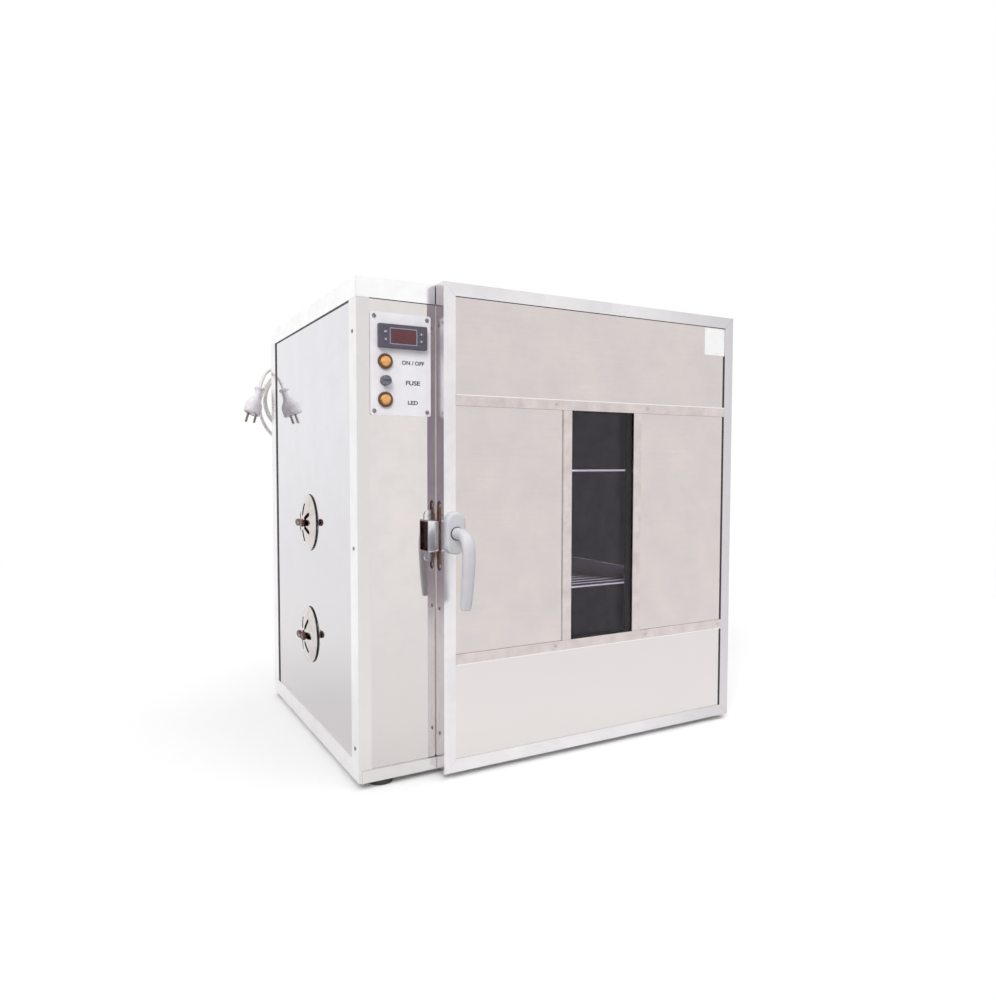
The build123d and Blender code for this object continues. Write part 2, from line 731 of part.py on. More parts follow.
rocker_edge = rocker_front - rocker_radius * math.tan(math.radians(rocker_tilt))
rocker_outline = [
    (rocker_front, 0),
    (rocker_edge, rocker_radius),
    (-rocker_back, rocker_radius),
    (-rocker_back, -rocker_radius),
    (rocker_edge, -rocker_radius),
]
rocker_lean = math.radians(rocker_tilt)
rocker_out = (0, -math.cos(rocker_lean), -math.sin(rocker_lean))
for rocker_name, (x, z) in (("power_rocker", power_switch_spot), ("lamp_rocker", lamp_switch_spot)):
    pivot = (x, rocker_pivot, z)
    with BuildPart() as rocker:
        with BuildSketch(Plane(origin=pivot, x_dir=rocker_out, z_dir=RIGHT)):
            Polygon(*rocker_outline, align=None)
        extrude(amount=rocker_radius, both=True)
        with BuildSketch(Plane(origin=pivot, x_dir=RIGHT, z_dir=rocker_out)):
            Circle(rocker_radius)
        extrude(amount=rocker_front + rocker_back, both=True, mode=Mode.INTERSECT)
        rods([(x - trunnion_reach, rocker_pivot, z)], RIGHT, trunnion_radius, 2 * trunnion_reach)
    finish(rocker, rocker_name)

# Fuse holder and its cap
fuse_x, fuse_z = fuse_spot
fuse_face = plate_face - fuse_flange
with BuildPart() as fuse_holder:
    rods([(fuse_x, fuse_face, fuse_z)], REAR, fuse_flange_radius, fuse_flange)
    rods([(fuse_x, plate_face, fuse_z)], REAR, fuse_body_radius, fuse_body_depth)
    bore_length = fuse_stem_length + fuse_cap_gap
    rods([(fuse_x, fuse_face, fuse_z)], REAR, fuse_stem_radius + running_clear, bore_length, Mode.SUBTRACT)
finish(fuse_holder, "fuse_holder")

with BuildPart() as fuse_cap:
    cap_back = fuse_face - fuse_cap_gap
    rods([(fuse_x, cap_back, fuse_z)], FRONT, fuse_cap_radius, fuse_cap_height)
    chamfer(fuse_cap.faces().sort_by(Axis.Y)[0].edges(), length=fuse_cap_edge)
    rods([(fuse_x, cap_back, fuse_z)], REAR, fuse_stem_radius, fuse_stem_length)
    cap_front = cap_back - fuse_cap_height
    slab(
        (fuse_x - fuse_cap_radius, fuse_x + fuse_cap_radius),
        (cap_front, cap_front + fuse_slot_depth),
        (fuse_z - fuse_slot_width / 2, fuse_z + fuse_slot_width / 2),
        Mode.SUBTRACT,
    )
finish(fuse_cap, "fuse_cap")

# Vents: domed disc with slots, and a nut with two round wings
vent_ball = (vent_radius**2 + vent_rise**2) / (2 * vent_rise)
vent_apex = vent_rim_gap + vent_rise
collar_length = vent_apex - nut_seat_gap


def dome_height(radius):
    """How far the dome's inner face stands from the panel at a radius."""
    return vent_apex - vent_ball + math.sqrt(vent_ball**2 - radius**2)


def dome_arc(lift):
    """The dome's curve from its stud hole to its rim, lifted off the panel."""
    radii = (stud_radius + running_clear, vent_radius / 2, vent_radius)
    return ThreePointArc(*[(dome_height(r) + lift, r) for r in radii])


for vent_name, vent_z, slot_turn in zip(("upper", "lower"), vent_heights, (vent_closed_turn, 0)):
    centre = (vent_panel_face, vent_y, vent_z)
    with BuildPart() as disc:
        with BuildSketch(Plane(origin=centre, x_dir=LEFT, z_dir=FRONT)):
            with BuildLine():
                inner_arc = dome_arc(0)
                outer_arc = dome_arc(vent_sheet)
                Line(inner_arc @ 0, outer_arc @ 0)
                Line(inner_arc @ 1, outer_arc @ 1)
            make_face()
        revolve(axis=Axis(centre, LEFT))
        with BuildSketch(Plane(origin=centre, x_dir=REAR, z_dir=LEFT)):
            with PolarLocations(vent_slot_circle, vent_slots, start_angle=slot_turn):
                SlotOverall(vent_slot_length, vent_slot_width)
        extrude(amount=vent_apex + 2 * vent_sheet, mode=Mode.SUBTRACT)
    finish(disc, f"{vent_name}_vent_disc")

    nut_seat = (vent_panel_face - vent_apex - vent_sheet - nut_seat_gap, vent_y, vent_z)
    wing_start = (nut_seat[0] - nut_wing_foot, vent_y, vent_z)
    with BuildPart() as wing_nut:
        with BuildSketch(Plane(origin=wing_start, x_dir=REAR, z_dir=LEFT)):
            Circle(nut_hub_radius)
            with Locations((nut_wing_spread, 0), (-nut_wing_spread, 0)):
                Ellipse(nut_wing_length / 2, nut_wing_width / 2)
        extrude(amount=nut_wing_height)
        rods([nut_seat], LEFT, nut_hub_radius, nut_hub_height)
        rods([nut_seat], LEFT, stud_radius + running_clear, nut_hub_height, Mode.SUBTRACT)
    finish(wing_nut, f"{vent_name}_wing_nut")

# Latch keeper: a bridge between two round ears
keeper_bridge_z = (
    keeper_centre[1] - keeper_bridge_length / 2,
    keeper_centre[1] + keeper_bridge_length / 2,
)
keeper_crown = panel_face - keeper_bridge_rise
with BuildPart() as latch_keeper:
    slab(keeper_x, (keeper_crown, panel_face), keeper_bridge_z)
    crown_edges = latch_keeper.faces().sort_by(Axis.Y)[0].edges().filter_by(Axis.X)
    fillet(crown_edges, radius=keeper_crown_radius)
    with BuildSketch(Plane(origin=(0, panel_face, 0), x_dir=RIGHT, z_dir=FRONT)):
        with Locations(keeper_centre):
            SlotOverall(keeper_base_length, keeper_width, rotation=90)
        with Locations(*keeper_screws):
            Circle(screw_clear_radius, mode=Mode.SUBTRACT)
    extrude(amount=keeper_base)
    tunnel_z = inset(keeper_bridge_z, keeper_strip)
    slab(keeper_x, (keeper_crown + keeper_strip, panel_face), tunnel_z, Mode.SUBTRACT)
finish(latch_keeper, "latch_keeper")

# Hinges on the right side: leaves with knuckles, and pins
knuckle = hinge_length / 3
bore_radius = pin_radius + running_clear
with BuildPart() as hinge_leaves_case:
    for z in hinge_bottoms:
        leaf_x = (x_right, x_right + hinge_leaf)
        slab(leaf_x, (hinge_axis[1], y_front + hinge_leaf_width), (z, z + hinge_length))
        for start in (z, z + 2 * knuckle):
            rods([(*hinge_axis, start)], UP, barrel_radius, knuckle)
        notch_y = (hinge_axis[1] - barrel_radius, hinge_axis[1] + barrel_radius + knuckle_relief)
        slab(
            (x_right, x_right + 2 * barrel_offset),
            notch_y,
            (z + knuckle, z + 2 * knuckle),
            Mode.SUBTRACT,
        )
        rods([(*hinge_axis, z)], UP, bore_radius, hinge_length, Mode.SUBTRACT)
    spots = [(x_right, y, h) for y, h in case_hinge_screws]
    rods(spots, RIGHT, screw_clear_radius, hinge_leaf, Mode.SUBTRACT)
finish(hinge_leaves_case, "hinge_leaves_case")

with BuildPart() as hinge_leaves_door:
    for z in hinge_bottoms:
        leaf_x = (x_right, x_right + hinge_leaf)
        slab(leaf_x, (y_front - hinge_leaf_width, hinge_axis[1]), (z, z + hinge_length))
        rods([(*hinge_axis, z + knuckle)], UP, barrel_radius, knuckle)
        notch_y = (hinge_axis[1] - barrel_radius - knuckle_relief, hinge_axis[1] + barrel_radius)
        for span in (
            (z, z + knuckle + knuckle_gap),
            (z + 2 * knuckle - knuckle_gap, z + hinge_length),
        ):
            slab((x_right, x_right + 2 * barrel_offset), notch_y, span, Mode.SUBTRACT)
        rods([(*hinge_axis, z)], UP, bore_radius, hinge_length, Mode.SUBTRACT)
    spots = [(x_right, y, h) for y, h in door_hinge_screws]
    rods(spots, RIGHT, screw_clear_radius, hinge_leaf, Mode.SUBTRACT)
finish(hinge_leaves_door, "hinge_leaves_door")

with BuildPart() as hinge_pins:
    for z in hinge_bottoms:
        rods([(*hinge_axis, z)], UP, pin_radius, hinge_length)
        rods([(*hinge_axis, z + hinge_length)], UP, pin_head_radius, pin_head_height)
finish(hinge_pins, "hinge_pins")

# Circulation fan on the inner wall
with BuildPart() as fan_frame:
    fan_square_y = (fan_y - fan_size / 2, fan_y + fan_size / 2)
    fan_square_z = (fan_z - fan_size / 2, fan_z + fan_size / 2)
    slab(fan_x, fan_square_y, fan_square_z)
    rods([(fan_x[0], fan_y, fan_z)], RIGHT, fan_bore_radius, fan_length, Mode.SUBTRACT)
    strut_x = (fan_x[0], fan_x[0] + fan_plate)
    half_strut = fan_strut_width / 2
    slab(strut_x, fan_square_y, (fan_z - half_strut, fan_z + half_strut))
    slab(strut_x, (fan_y - half_strut, fan_y + half_strut), fan_square_z)
    rods([(fan_x[0], fan_y, fan_z)], RIGHT, fan_hub_radius, fan_plate)
    rods([(fan_x[0], fan_y, fan_z)], RIGHT, rotor_shaft_radius + running_clear, fan_plate, Mode.SUBTRACT)
finish(fan_frame, "fan_frame")

rotor_x = fan_x[0] + rotor_inset
blade_start = rotor_hub_radius - rotor_blade_root
blade_middle = (blade_start + rotor_blade_radius) / 2
blade_span = rotor_blade_radius - blade_start
blade_turn = 360 / rotor_blades
with BuildPart() as fan_rotor:
    rods([(rotor_x, fan_y, fan_z)], RIGHT, rotor_hub_radius, rotor_length)
    rods([(fan_x[0], fan_y, fan_z)], RIGHT, rotor_shaft_radius, rotor_inset)
    blade_centre = (rotor_x + rotor_length / 2, fan_y, fan_z)
    for n in range(rotor_blades):
        spoke = Location(Plane(origin=blade_centre, x_dir=UP, z_dir=RIGHT)) * Rotation(0, 0, n * blade_turn)
        with Locations(spoke * Location((blade_middle, 0, 0), (rotor_blade_pitch, 0, 0))):
            Box(blade_span, rotor_blade_chord, rotor_blade_sheet)
finish(fan_rotor, "fan_rotor")

# Tubular heater, sensor probe and lamp in and beside the chamber
heater_y = y_rear - heater_rear_gap
heater_z = z_base + heater_height
heater_face = fan_wall_face - heater_flange
heater_route = [
    (heater_face, heater_y, heater_z + heater_pitch),
    (heater_face - heater_leg, heater_y, heater_z + heater_pitch),
    (heater_face - heater_leg, heater_y - heater_run, heater_z + heater_pitch),
    (heater_face - heater_leg, heater_y - heater_run, heater_z),
    (heater_face - heater_leg, heater_y, heater_z),
    (heater_face, heater_y, heater_z),
]
with BuildPart() as heater:
    with BuildLine():
        FilletPolyline(*heater_route, radius=heater_bend)
    with BuildSketch(Plane(origin=heater_route[0], z_dir=LEFT)):
        Circle(heater_tube_radius)
    sweep()
    slab(
        (heater_face, fan_wall_face),
        (heater_y - heater_flange_width / 2, heater_y + heater_flange_width / 2),
        (
            heater_z + heater_pitch / 2 - heater_flange_height / 2,
            heater_z + heater_pitch / 2 + heater_flange_height / 2,
        ),
    )
finish(heater, "heater")

with BuildPart() as sensor_probe:
    px, py, pz = probe_spot
    rods([(px - probe_tail, py, pz)], RIGHT, probe_radius, probe_tail + liner_sheet + probe_length)
    rods([(chamber_left, py, pz)], RIGHT, probe_collar_radius, probe_collar)
finish(sensor_probe, "sensor_probe")

with BuildPart() as lamp_strip:
    lamp_y = (y_front + lamp_depth, y_front + lamp_depth + lamp_width)
    slab(
        (chamber_left + lamp_end_gap, chamber_right - lamp_end_gap),
        lamp_y,
        (chamber_top - lamp_height, chamber_top),
    )
    lower_edges = lamp_strip.edges().filter_by(Axis.X).group_by(Axis.Z)[0]
    chamfer(lower_edges, length=lamp_edge)
finish(lamp_strip, "lamp_strip")

# Wire shelves on angle rails
shelf_x = inset((chamber_left, chamber_right), shelf_side_gap)
shelf_y = (y_front + shelf_front, chamber_rear - shelf_rear_gap)
shelf_middle = ((shelf_x[0] + shelf_x[1]) / 2, (shelf_y[0] + shelf_y[1]) / 2)
frame_x = inset(shelf_x, shelf_frame_radius)
frame_y = inset(shelf_y, shelf_frame_radius)
wire_count = int((frame_y[1] - frame_y[0]) / shelf_wire_pitch)
wire_step = (frame_y[1] - frame_y[0]) / wire_count
with BuildPart() as wire_shelves:
    for offset in shelf_offsets:
        z = door_centre + offset
        with BuildLine() as ring:
            FilletPolyline(
                (frame_x[0], frame_y[0], z),
                (frame_x[1], frame_y[0], z),
                (frame_x[1], frame_y[1], z),
                (frame_x[0], frame_y[1], z),
                radius=shelf_corner,
                close=True,
            )
        with BuildSketch(Plane(origin=ring.line @ 0, z_dir=ring.line % 0)):
            Circle(shelf_frame_radius)
        sweep()
        wire_z = z + shelf_frame_radius - shelf_wire_radius
        wire_spots = [(frame_x[0], frame_y[0] + n * wire_step, wire_z) for n in range(1, wire_count)]
        rods(wire_spots, RIGHT, shelf_wire_radius, frame_x[1] - frame_x[0])
        rods([(shelf_middle[0], frame_y[0], z)], REAR, shelf_wire_radius, frame_y[1] - frame_y[0])
finish(wire_shelves, "wire_shelves")

rail_y = (shelf_y[0] - rail_front_gap, chamber_rear - shelf_rear_gap / 2)
with BuildPart() as shelf_rails:
    for offset in shelf_offsets:
        seat = door_centre + offset - shelf_frame_radius
        for x, inward in ((chamber_left, 1), (chamber_right, -1)):
            slab(sorted((x, x + inward * rail_sheet)), rail_y, (seat - rail_leg, seat))
            slab(sorted((x, x + inward * rail_leg)), rail_y, (seat - rail_sheet, seat))
finish(shelf_rails, "shelf_rails")

# Door frame: four mitred channels
frame_corners = [
    Location((x, door_middle_y, z), (0, turn, 0))
    for x, z, turn in (
        (door_left, z_base, -45),
        (x_right, z_base, 45),
        (door_left, z_top, 45),
        (x_right, z_top, -45),
    )
]
with BuildPart() as door_frame:
    slab(door_x, door_y, case_z)
    slab(inset(door_x, frame_sheet), inset(door_y, frame_sheet), inset(case_z, frame_sheet), Mode.SUBTRACT)
    slab(inset(door_x, frame_face), door_y, inset(case_z, frame_face), Mode.SUBTRACT)
    with Locations(*frame_corners):
        Box(mitre_length, 2 * door_thickness, butt_gap, mode=Mode.SUBTRACT)
    with BuildSketch(Plane(origin=(door_left, lock_slot_y, lock_z), x_dir=UP, z_dir=RIGHT)):
        SlotOverall(lock_slot_length, lock_slot_width)
    extrude(amount=frame_sheet, mode=Mode.SUBTRACT)
    rods([(door_left, y, z) for y, z in edge_rivets], RIGHT, trim_clear_radius, frame_sheet, Mode.SUBTRACT)
    hinge_holes = [(x_right, y, z) for y, z in door_hinge_screws]
    rods(hinge_holes, LEFT, screw_clear_radius, frame_sheet, Mode.SUBTRACT)
    rods([(spindle_x, door_front, spindle_z)], REAR, spindle_hole_radius, frame_sheet, Mode.SUBTRACT)
finish(door_frame, "door_frame")

# Door face sheets, the bands and strips round the window, and the back sheet
sheet_x = inset(door_x, frame_sheet + butt_gap)
sheet_y = (sheet_front, core_front)
sheet_z = inset(case_z, frame_sheet + butt_gap)
with BuildPart() as door_sheets:
    slab(sheet_x, sheet_y, (window_z[1], sheet_z[1]))
    slab(sheet_x, sheet_y, (sheet_z[0], window_z[0]))
    slab((sheet_x[0], window_x[0]), sheet_y, inset(window_z, butt_gap))
    slab((window_x[1], sheet_x[1]), sheet_y, inset(window_z, butt_gap))
    rods([(spindle_x, sheet_front, spindle_z)], REAR, spindle_hole_radius, door_sheet, Mode.SUBTRACT)
    rods([(x, sheet_front, z) for x, z in band_rivets], REAR, trim_clear_radius, door_sheet, Mode.SUBTRACT)
finish(door_sheets, "door_sheets")

band_x = inset(door_x, frame_face + butt_gap)
band_y = (door_front, sheet_front)
lip_y = (door_front - band_lip_rise, sheet_front)
band_tops = (window_z[0] - band_width, window_z[0]), (window_z[1], window_z[1] + band_width)
with BuildPart() as window_trim:
    slab(band_x, band_y, band_tops[0])
    slab(band_x, lip_y, (band_tops[0][0], band_tops[0][0] + band_lip))
    slab(band_x, band_y, band_tops[1])
    slab(band_x, lip_y, (band_tops[1][1] - band_lip, band_tops[1][1]))
    slab((window_x[0] - band_width, window_x[0]), band_y, inset(window_z, butt_gap))
    slab((window_x[1], window_x[1] + band_width), band_y, inset(window_z, butt_gap))
    rods([(x, door_front, z) for x, z in band_rivets], REAR, trim_clear_radius, frame_sheet, Mode.SUBTRACT)
finish(window_trim, "window_trim")

with BuildPart() as door_back_sheet:
    slab(sheet_x, (core_back, sheet_back), sheet_z)
    slab(window_x, (core_back, sheet_back), window_z, Mode.SUBTRACT)
finish(door_back_sheet, "door_back_sheet")

# Two panes held in one gasket
pane_x = inset(window_x, -pane_lap)
pane_z = inset(window_z, -pane_lap)
front_pane_y = (core_front, core_front + pane_thickness)
back_pane_y = (core_back - pane_thickness, core_back)
with BuildPart() as window_panes:
    slab(pane_x, front_pane_y, pane_z)
    slab(pane_x, back_pane_y, pane_z)
finish(window_panes, "window_panes")

gasket_x = inset(pane_x, -gasket_wall)
gasket_z = inset(pane_z, -gasket_wall)
core_y = (core_front, core_back)
with BuildPart() as window_gasket:
    slab(gasket_x, core_y, gasket_z)
    slab(window_x, core_y, window_z, Mode.SUBTRACT)
    slab(pane_x, front_pane_y, pane_z, Mode.SUBTRACT)
    slab(pane_x, back_pane_y, pane_z, Mode.SUBTRACT)
finish(window_gasket, "window_gasket")

# Insulation inside the door, with a pocket for the lock
pocket_x = (sheet_x[0], lock_body_x[1] + butt_gap)
pocket_y = (lock_plate_y[0] - butt_gap, core_back)
pocket_z = inset(lock_plate_z, -butt_gap)
spindle_bore = spindle_hole_radius + butt_gap
with BuildPart() as door_core:
    slab(sheet_x, core_y, (gasket_z[1] + butt_gap, sheet_z[1]))
    slab(sheet_x, core_y, (sheet_z[0], gasket_z[0] - butt_gap))
    slab((sheet_x[0], gasket_x[0] - butt_gap), core_y, gasket_z)
    slab((gasket_x[1] + butt_gap, sheet_x[1]), core_y, gasket_z)
    slab(pocket_x, pocket_y, pocket_z, Mode.SUBTRACT)
    rods([(spindle_x, core_front, spindle_z)], REAR, spindle_bore, door_thickness / 2, Mode.SUBTRACT)
finish(door_core, "door_core")

# Seal strips behind the door
seal_z = (z_base + frame_face + seal_inset, z_top - top_trim_leg - seal_inset)
seal_x = inset(door_x, frame_face + seal_inset)
land_stop = panel_face - seal_clear
with BuildPart() as door_seal:
    left_seal_x = (door_left + seal_edge, door_left + seal_edge + seal_width)
    slab(left_seal_x, (door_back, land_stop), seal_z)
    slab((seal_x[1] - seal_width, seal_x[1]), (sheet_back, land_stop), seal_z)
    top_seal_z = (z_top - frame_face - seal_inset - seal_width, z_top - frame_face - seal_inset)
    slab(seal_x, (sheet_back, y_front - seal_clear), top_seal_z)
    bottom_seal_x = (seal_x[0], seal_x[1] - seal_width - butt_gap)
    slab(bottom_seal_x, (sheet_back, land_stop), (seal_z[0], seal_z[0] + seal_width))
finish(door_seal, "door_seal")

# Lock in the door's edge, with its bolt drawn back
bolt_way_x = (lock_plate_face, lock_body_x[1] - lock_plate)
bolt_way_y = inset(bolt_y, -bolt_clear)
bolt_way_z = inset(bolt_z, -bolt_clear)
spindle_end = door_front + spindle_depth
with BuildPart() as lock_case:
    slab((lock_plate_face, lock_body_x[0]), lock_plate_y, lock_plate_z)
    slab(lock_body_x, lock_body_y, lock_body_z)
    slab(bolt_way_x, bolt_way_y, bolt_way_z, Mode.SUBTRACT)
    follower_depth = spindle_end + spindle_clear - lock_body_y[0]
    follower = (spindle_x, lock_body_y[0], spindle_z)
    rods([follower], REAR, spindle_hole_radius, follower_depth, Mode.SUBTRACT)
    lock_screw_spots = [(lock_plate_face, y, z) for y, z in lock_screws]
    rods(lock_screw_spots, RIGHT, screw_clear_radius, lock_screw_length + shank_clear, Mode.SUBTRACT)
finish(lock_case, "lock_case")

with BuildPart() as latch_bolt:
    slab(bolt_x, bolt_y, bolt_z)
    lead_edges = latch_bolt.faces().sort_by(Axis.X)[0].edges().filter_by(Axis.Z)
    chamfer(lead_edges, length=bolt_thickness / 5)
finish(latch_bolt, "latch_bolt")

# Handle: rosette and lever
door_plane = Plane(origin=(0, door_front, 0), x_dir=RIGHT, z_dir=FRONT)
with BuildPart() as handle_rosette:
    with BuildSketch(door_plane):
        with Locations((spindle_x, spindle_z)):
            SlotOverall(rosette_length, rosette_width, rotation=90)
    extrude(amount=rosette_height)
    fillet(handle_rosette.faces().sort_by(Axis.Y)[0].edges(), radius=rosette_edge)
    rods(
        [(spindle_x, door_front, spindle_z)],
        FRONT,
        collar_radius + running_clear,
        rosette_height,
        Mode.SUBTRACT,
    )
finish(handle_rosette, "handle_rosette")

lever_foot = rosette_height + lever_clear
grip_inner = handle_standoff - grip_thickness
outer_bend = neck_half + grip_thickness
with BuildPart() as handle_lever:
    with BuildSketch(Plane(origin=(spindle_x, door_front, spindle_z), x_dir=FRONT, z_dir=LEFT)):
        with BuildLine():
            Line((lever_foot, -neck_half), (lever_foot, neck_half))
            Line((lever_foot, neck_half), (handle_standoff - outer_bend, neck_half))
            CenterArc((handle_standoff - outer_bend, neck_half - outer_bend), outer_bend, 0, 90)
            Polyline(
                (handle_standoff, neck_half - outer_bend),
                (handle_standoff - grip_lean, -grip_drop),
                (grip_inner - grip_lean, -grip_drop),
                (grip_inner, -2 * neck_half),
            )
            CenterArc((grip_inner - neck_half, -2 * neck_half), neck_half, 0, 90)
            Line((grip_inner - neck_half, -neck_half), (lever_foot, -neck_half))
        make_face()
    extrude(amount=grip_width / 2, both=True)
    with BuildSketch(door_plane):
        with Locations((spindle_x, spindle_z + (grip_width / 2 - grip_drop) / 2)):
            SlotOverall(grip_drop + grip_width / 2, grip_width, rotation=90)
    extrude(amount=2 * handle_standoff, mode=Mode.INTERSECT)
    foot_face = handle_lever.faces().sort_by(Axis.Y)[-1]
    fillet(handle_lever.edges() - foot_face.edges(), radius=grip_edge)
    lever_collar = (spindle_x, door_front - spindle_clear, spindle_z)
    rods([lever_collar], FRONT, collar_radius, lever_foot)
    half_side = spindle_side / 2
    slab(
        (spindle_x - half_side, spindle_x + half_side),
        (door_front - lever_foot, spindle_end),
        (spindle_z - half_side, spindle_z + half_side),
    )
finish(handle_lever, "handle_lever")

# Rivets, screws and the vents' studs
with BuildPart() as case_fasteners:
    stud_feet = [(x_left + skin, vent_y, z) for z in vent_heights]
    rods(stud_feet, RIGHT, stud_head_radius, stud_head)
    rods(stud_feet, LEFT, stud_radius, stud_length + outer_sheet)
    rods([(vent_panel_face, vent_y, z) for z in vent_heights], LEFT, stud_collar_radius, collar_length)
    rivet = (rivet_head_radius, rivet_head_height, rivet_shank_radius)
    screw = (screw_head_radius, screw_head_height, screw_shank_radius)
    fasteners([(x_left, y, z) for y, z in side_rivet_spots], LEFT, *rivet, skin)
    fasteners([(x_right, y, z) for y, z in side_rivet_spots], RIGHT, *rivet, skin)
    fasteners([(x, y_rear, z) for x, z in rear_rivet_spots], REAR, *rivet, skin)
    fasteners([(x, plate_face, z) for x, z in plate_screws], FRONT, *screw, plate_sheet + outer_sheet)
    fasteners([(x, keeper_face, z) for x, z in keeper_screws], FRONT, *screw, keeper_base + outer_sheet)
    fasteners([(hinge_screw_face, y, z) for y, z in case_hinge_screws], RIGHT, *screw, hinge_leaf + skin)
    hook_screw_face = rear_panel_face + hook_base
    fasteners([(x, hook_screw_face, z) for x, z in hook_screws], REAR, *screw, hook_base + outer_sheet)
finish(case_fasteners, "case_fasteners")

with BuildPart() as door_fasteners:
    fasteners([(x, door_front, z) for x, z in band_rivets], FRONT, *rivet, frame_sheet + door_sheet)
    fasteners([(door_left, y, z) for y, z in edge_rivets], LEFT, *rivet, frame_sheet)
    hinge_screws = [(hinge_screw_face, y, z) for y, z in door_hinge_screws]
    fasteners(hinge_screws, RIGHT, *screw, hinge_leaf + frame_sheet)
    lock_screw = (screw_head_radius, lock_screw_head, screw_shank_radius)
    fasteners(lock_screw_spots, LEFT, *lock_screw, lock_screw_length)
finish(door_fasteners, "door_fasteners")

# Cord gland and hook on the rear
with BuildPart() as cable_gland:
    rods([(gland_x, rear_panel_face, gland_z)], REAR, gland_flange_radius, gland_flange)
    gland_inner = gland_hole_radius - shank_clear
    rods([(gland_x, rear_panel_face, gland_z)], FRONT, gland_inner, outer_sheet + gland_tail)
    rods([(gland_x, rear_panel_face, gland_z)], REAR, gland_stub_radius, gland_axis_y - rear_panel_face)
    with Locations((gland_x, gland_axis_y, gland_z)):
        Sphere(gland_stub_radius)
        Cone(
            gland_neck_radius,
            gland_tip_radius,
            gland_boot_length,
            align=(Align.CENTER, Align.CENTER, Align.MIN),
        )
finish(cable_gland, "cable_gland")

with BuildPart() as cable_hook:
    hook_end = y_rear + hook_reach - hook_rod_radius
    hook_start = (hook_x, rear_panel_face + hook_base, hook_z)
    with BuildLine():
        FilletPolyline(
            hook_start,
            (hook_x, hook_end, hook_z),
            (hook_x, hook_end, hook_z + hook_upturn),
            radius=hook_bend,
        )
    with BuildSketch(Plane(origin=hook_start, z_dir=REAR)):
        Circle(hook_rod_radius)
    sweep()
    with BuildSketch(Plane(origin=(hook_x, rear_panel_face, hook_z), x_dir=LEFT, z_dir=REAR)):
        RectangleRounded(hook_base_width, hook_base_height, hook_base)
        with Locations(*[(0, s * hook_screw_spread) for s in (-1, 1)]):
            Circle(screw_clear_radius, mode=Mode.SUBTRACT)
    extrude(amount=hook_base)
finish(cable_hook, "cable_hook")

# Cord: a lead from the gland, a coil on the hook, a tail to the plug
coil_top = hook_z + hook_rod_radius + cord_hook_clear + cord_radius


def blend(start, end, t):
    """Ease from one value to another."""
    return start + (end - start) * (1 - math.cos(math.pi * t)) / 2


def coil_radius(turn):
    """The coil's radius at a turn number."""
    whole = int(turn)
    if whole < len(coil_radii) - 1:
        return blend(coil_radii[whole], coil_radii[whole + 1], turn - whole)
    rest = (turn - whole) / (coil_turns - whole)
    return blend(coil_radii[-1], coil_last_radius, rest)


def coil_lift(turn):
    """How far the last turn climbs over the ones before it."""
    whole = len(coil_radii) - 1
    if turn < whole:
        return 0.0
    return blend(0.0, coil_last_lift, (turn - whole) / (coil_turns - whole))


def coil_point(turn):
    """A point on the coil's centre line; each turn's top lies on the hook."""
    angle = 2 * math.pi * turn
    radius = coil_radius(turn)
    return Vector(
        hook_x + radius * math.cos(angle),
        y_rear + coil_first_rise + coil_pitch * turn,
        coil_top + coil_lift(turn) - radius + radius * math.sin(angle),
    )


def coil_direction(turn):
    """The coil's direction at a turn number."""
    step = 1e-4
    before = max(turn - step, 0)
    after = min(turn + step, coil_turns)
    return (coil_point(after) - coil_point(before)).normalized()


def biarc(start, start_way, end, end_way):
    """Join two points and their directions with two arcs that share a tangent."""
    span = end - start
    both = start_way + end_way
    a = 2 * start_way.dot(end_way) - 2
    b = -2 * span.dot(both)
    c = span.dot(span)
    reach = (-b - math.sqrt(b * b - 4 * a * c)) / (2 * a)
    first = start + start_way * reach
    second = end - end_way * reach
    middle = (first + second) * 0.5
    middle_way = (second - first).normalized()
    TangentArc(start, middle, tangent=start_way)
    TangentArc(middle, end, tangent=middle_way)


def tube(points):
    """A cord tube through points, each corner rounded as far as its shorter run allows."""
    ways = [(b - a).normalized() for a, b in zip(points, points[1:])]
    runs = [(b - a).length for a, b in zip(points, points[1:])]
    radii = []
    for n in range(len(points) - 2):
        half_turn = math.acos(max(-1.0, min(1.0, ways[n].dot(ways[n + 1])))) / 2
        radii.append(cord_bend_share * min(runs[n], runs[n + 1]) / math.tan(half_turn))
    with BuildPart() as result:
        with BuildLine() as line:
            FilletPolyline(*points, radius=radii)
        with BuildSketch(Plane(origin=points[0], z_dir=ways[0])):
            Circle(cord_radius)
        sweep()
    full_volume = math.pi * cord_radius**2 * sum(edge.length for edge in line.edges())
    print("cord runs", [round(r, 1) for r in runs], "radii", [round(r, 1) for r in radii])
    print("tube volume ratio", round(result.part.volume / full_volume, 4))
    return result


def behind(x, y, z):
    """A point given from the case's left face, its rear and the hook's height."""
    return Vector(x_left + x, y_rear + y, hook_z + z)


cord_straight = 2 * cord_radius
coil_start_way = coil_direction(0)
coil_end_way = coil_direction(coil_turns)
lead_end = coil_point(0) - coil_start_way * cord_straight
tail_start = coil_point(coil_turns) + coil_end_way * cord_straight

gland_exit = Vector(gland_x, gland_axis_y, gland_z + gland_boot_length)
lead_points = [
    gland_exit,
    gland_exit + Vector(0, 0, lead_run),
    lead_end - coil_start_way * lead_run,
    lead_end,
]
cord_lead = tube(lead_points)
finish(cord_lead, "cord_lead")

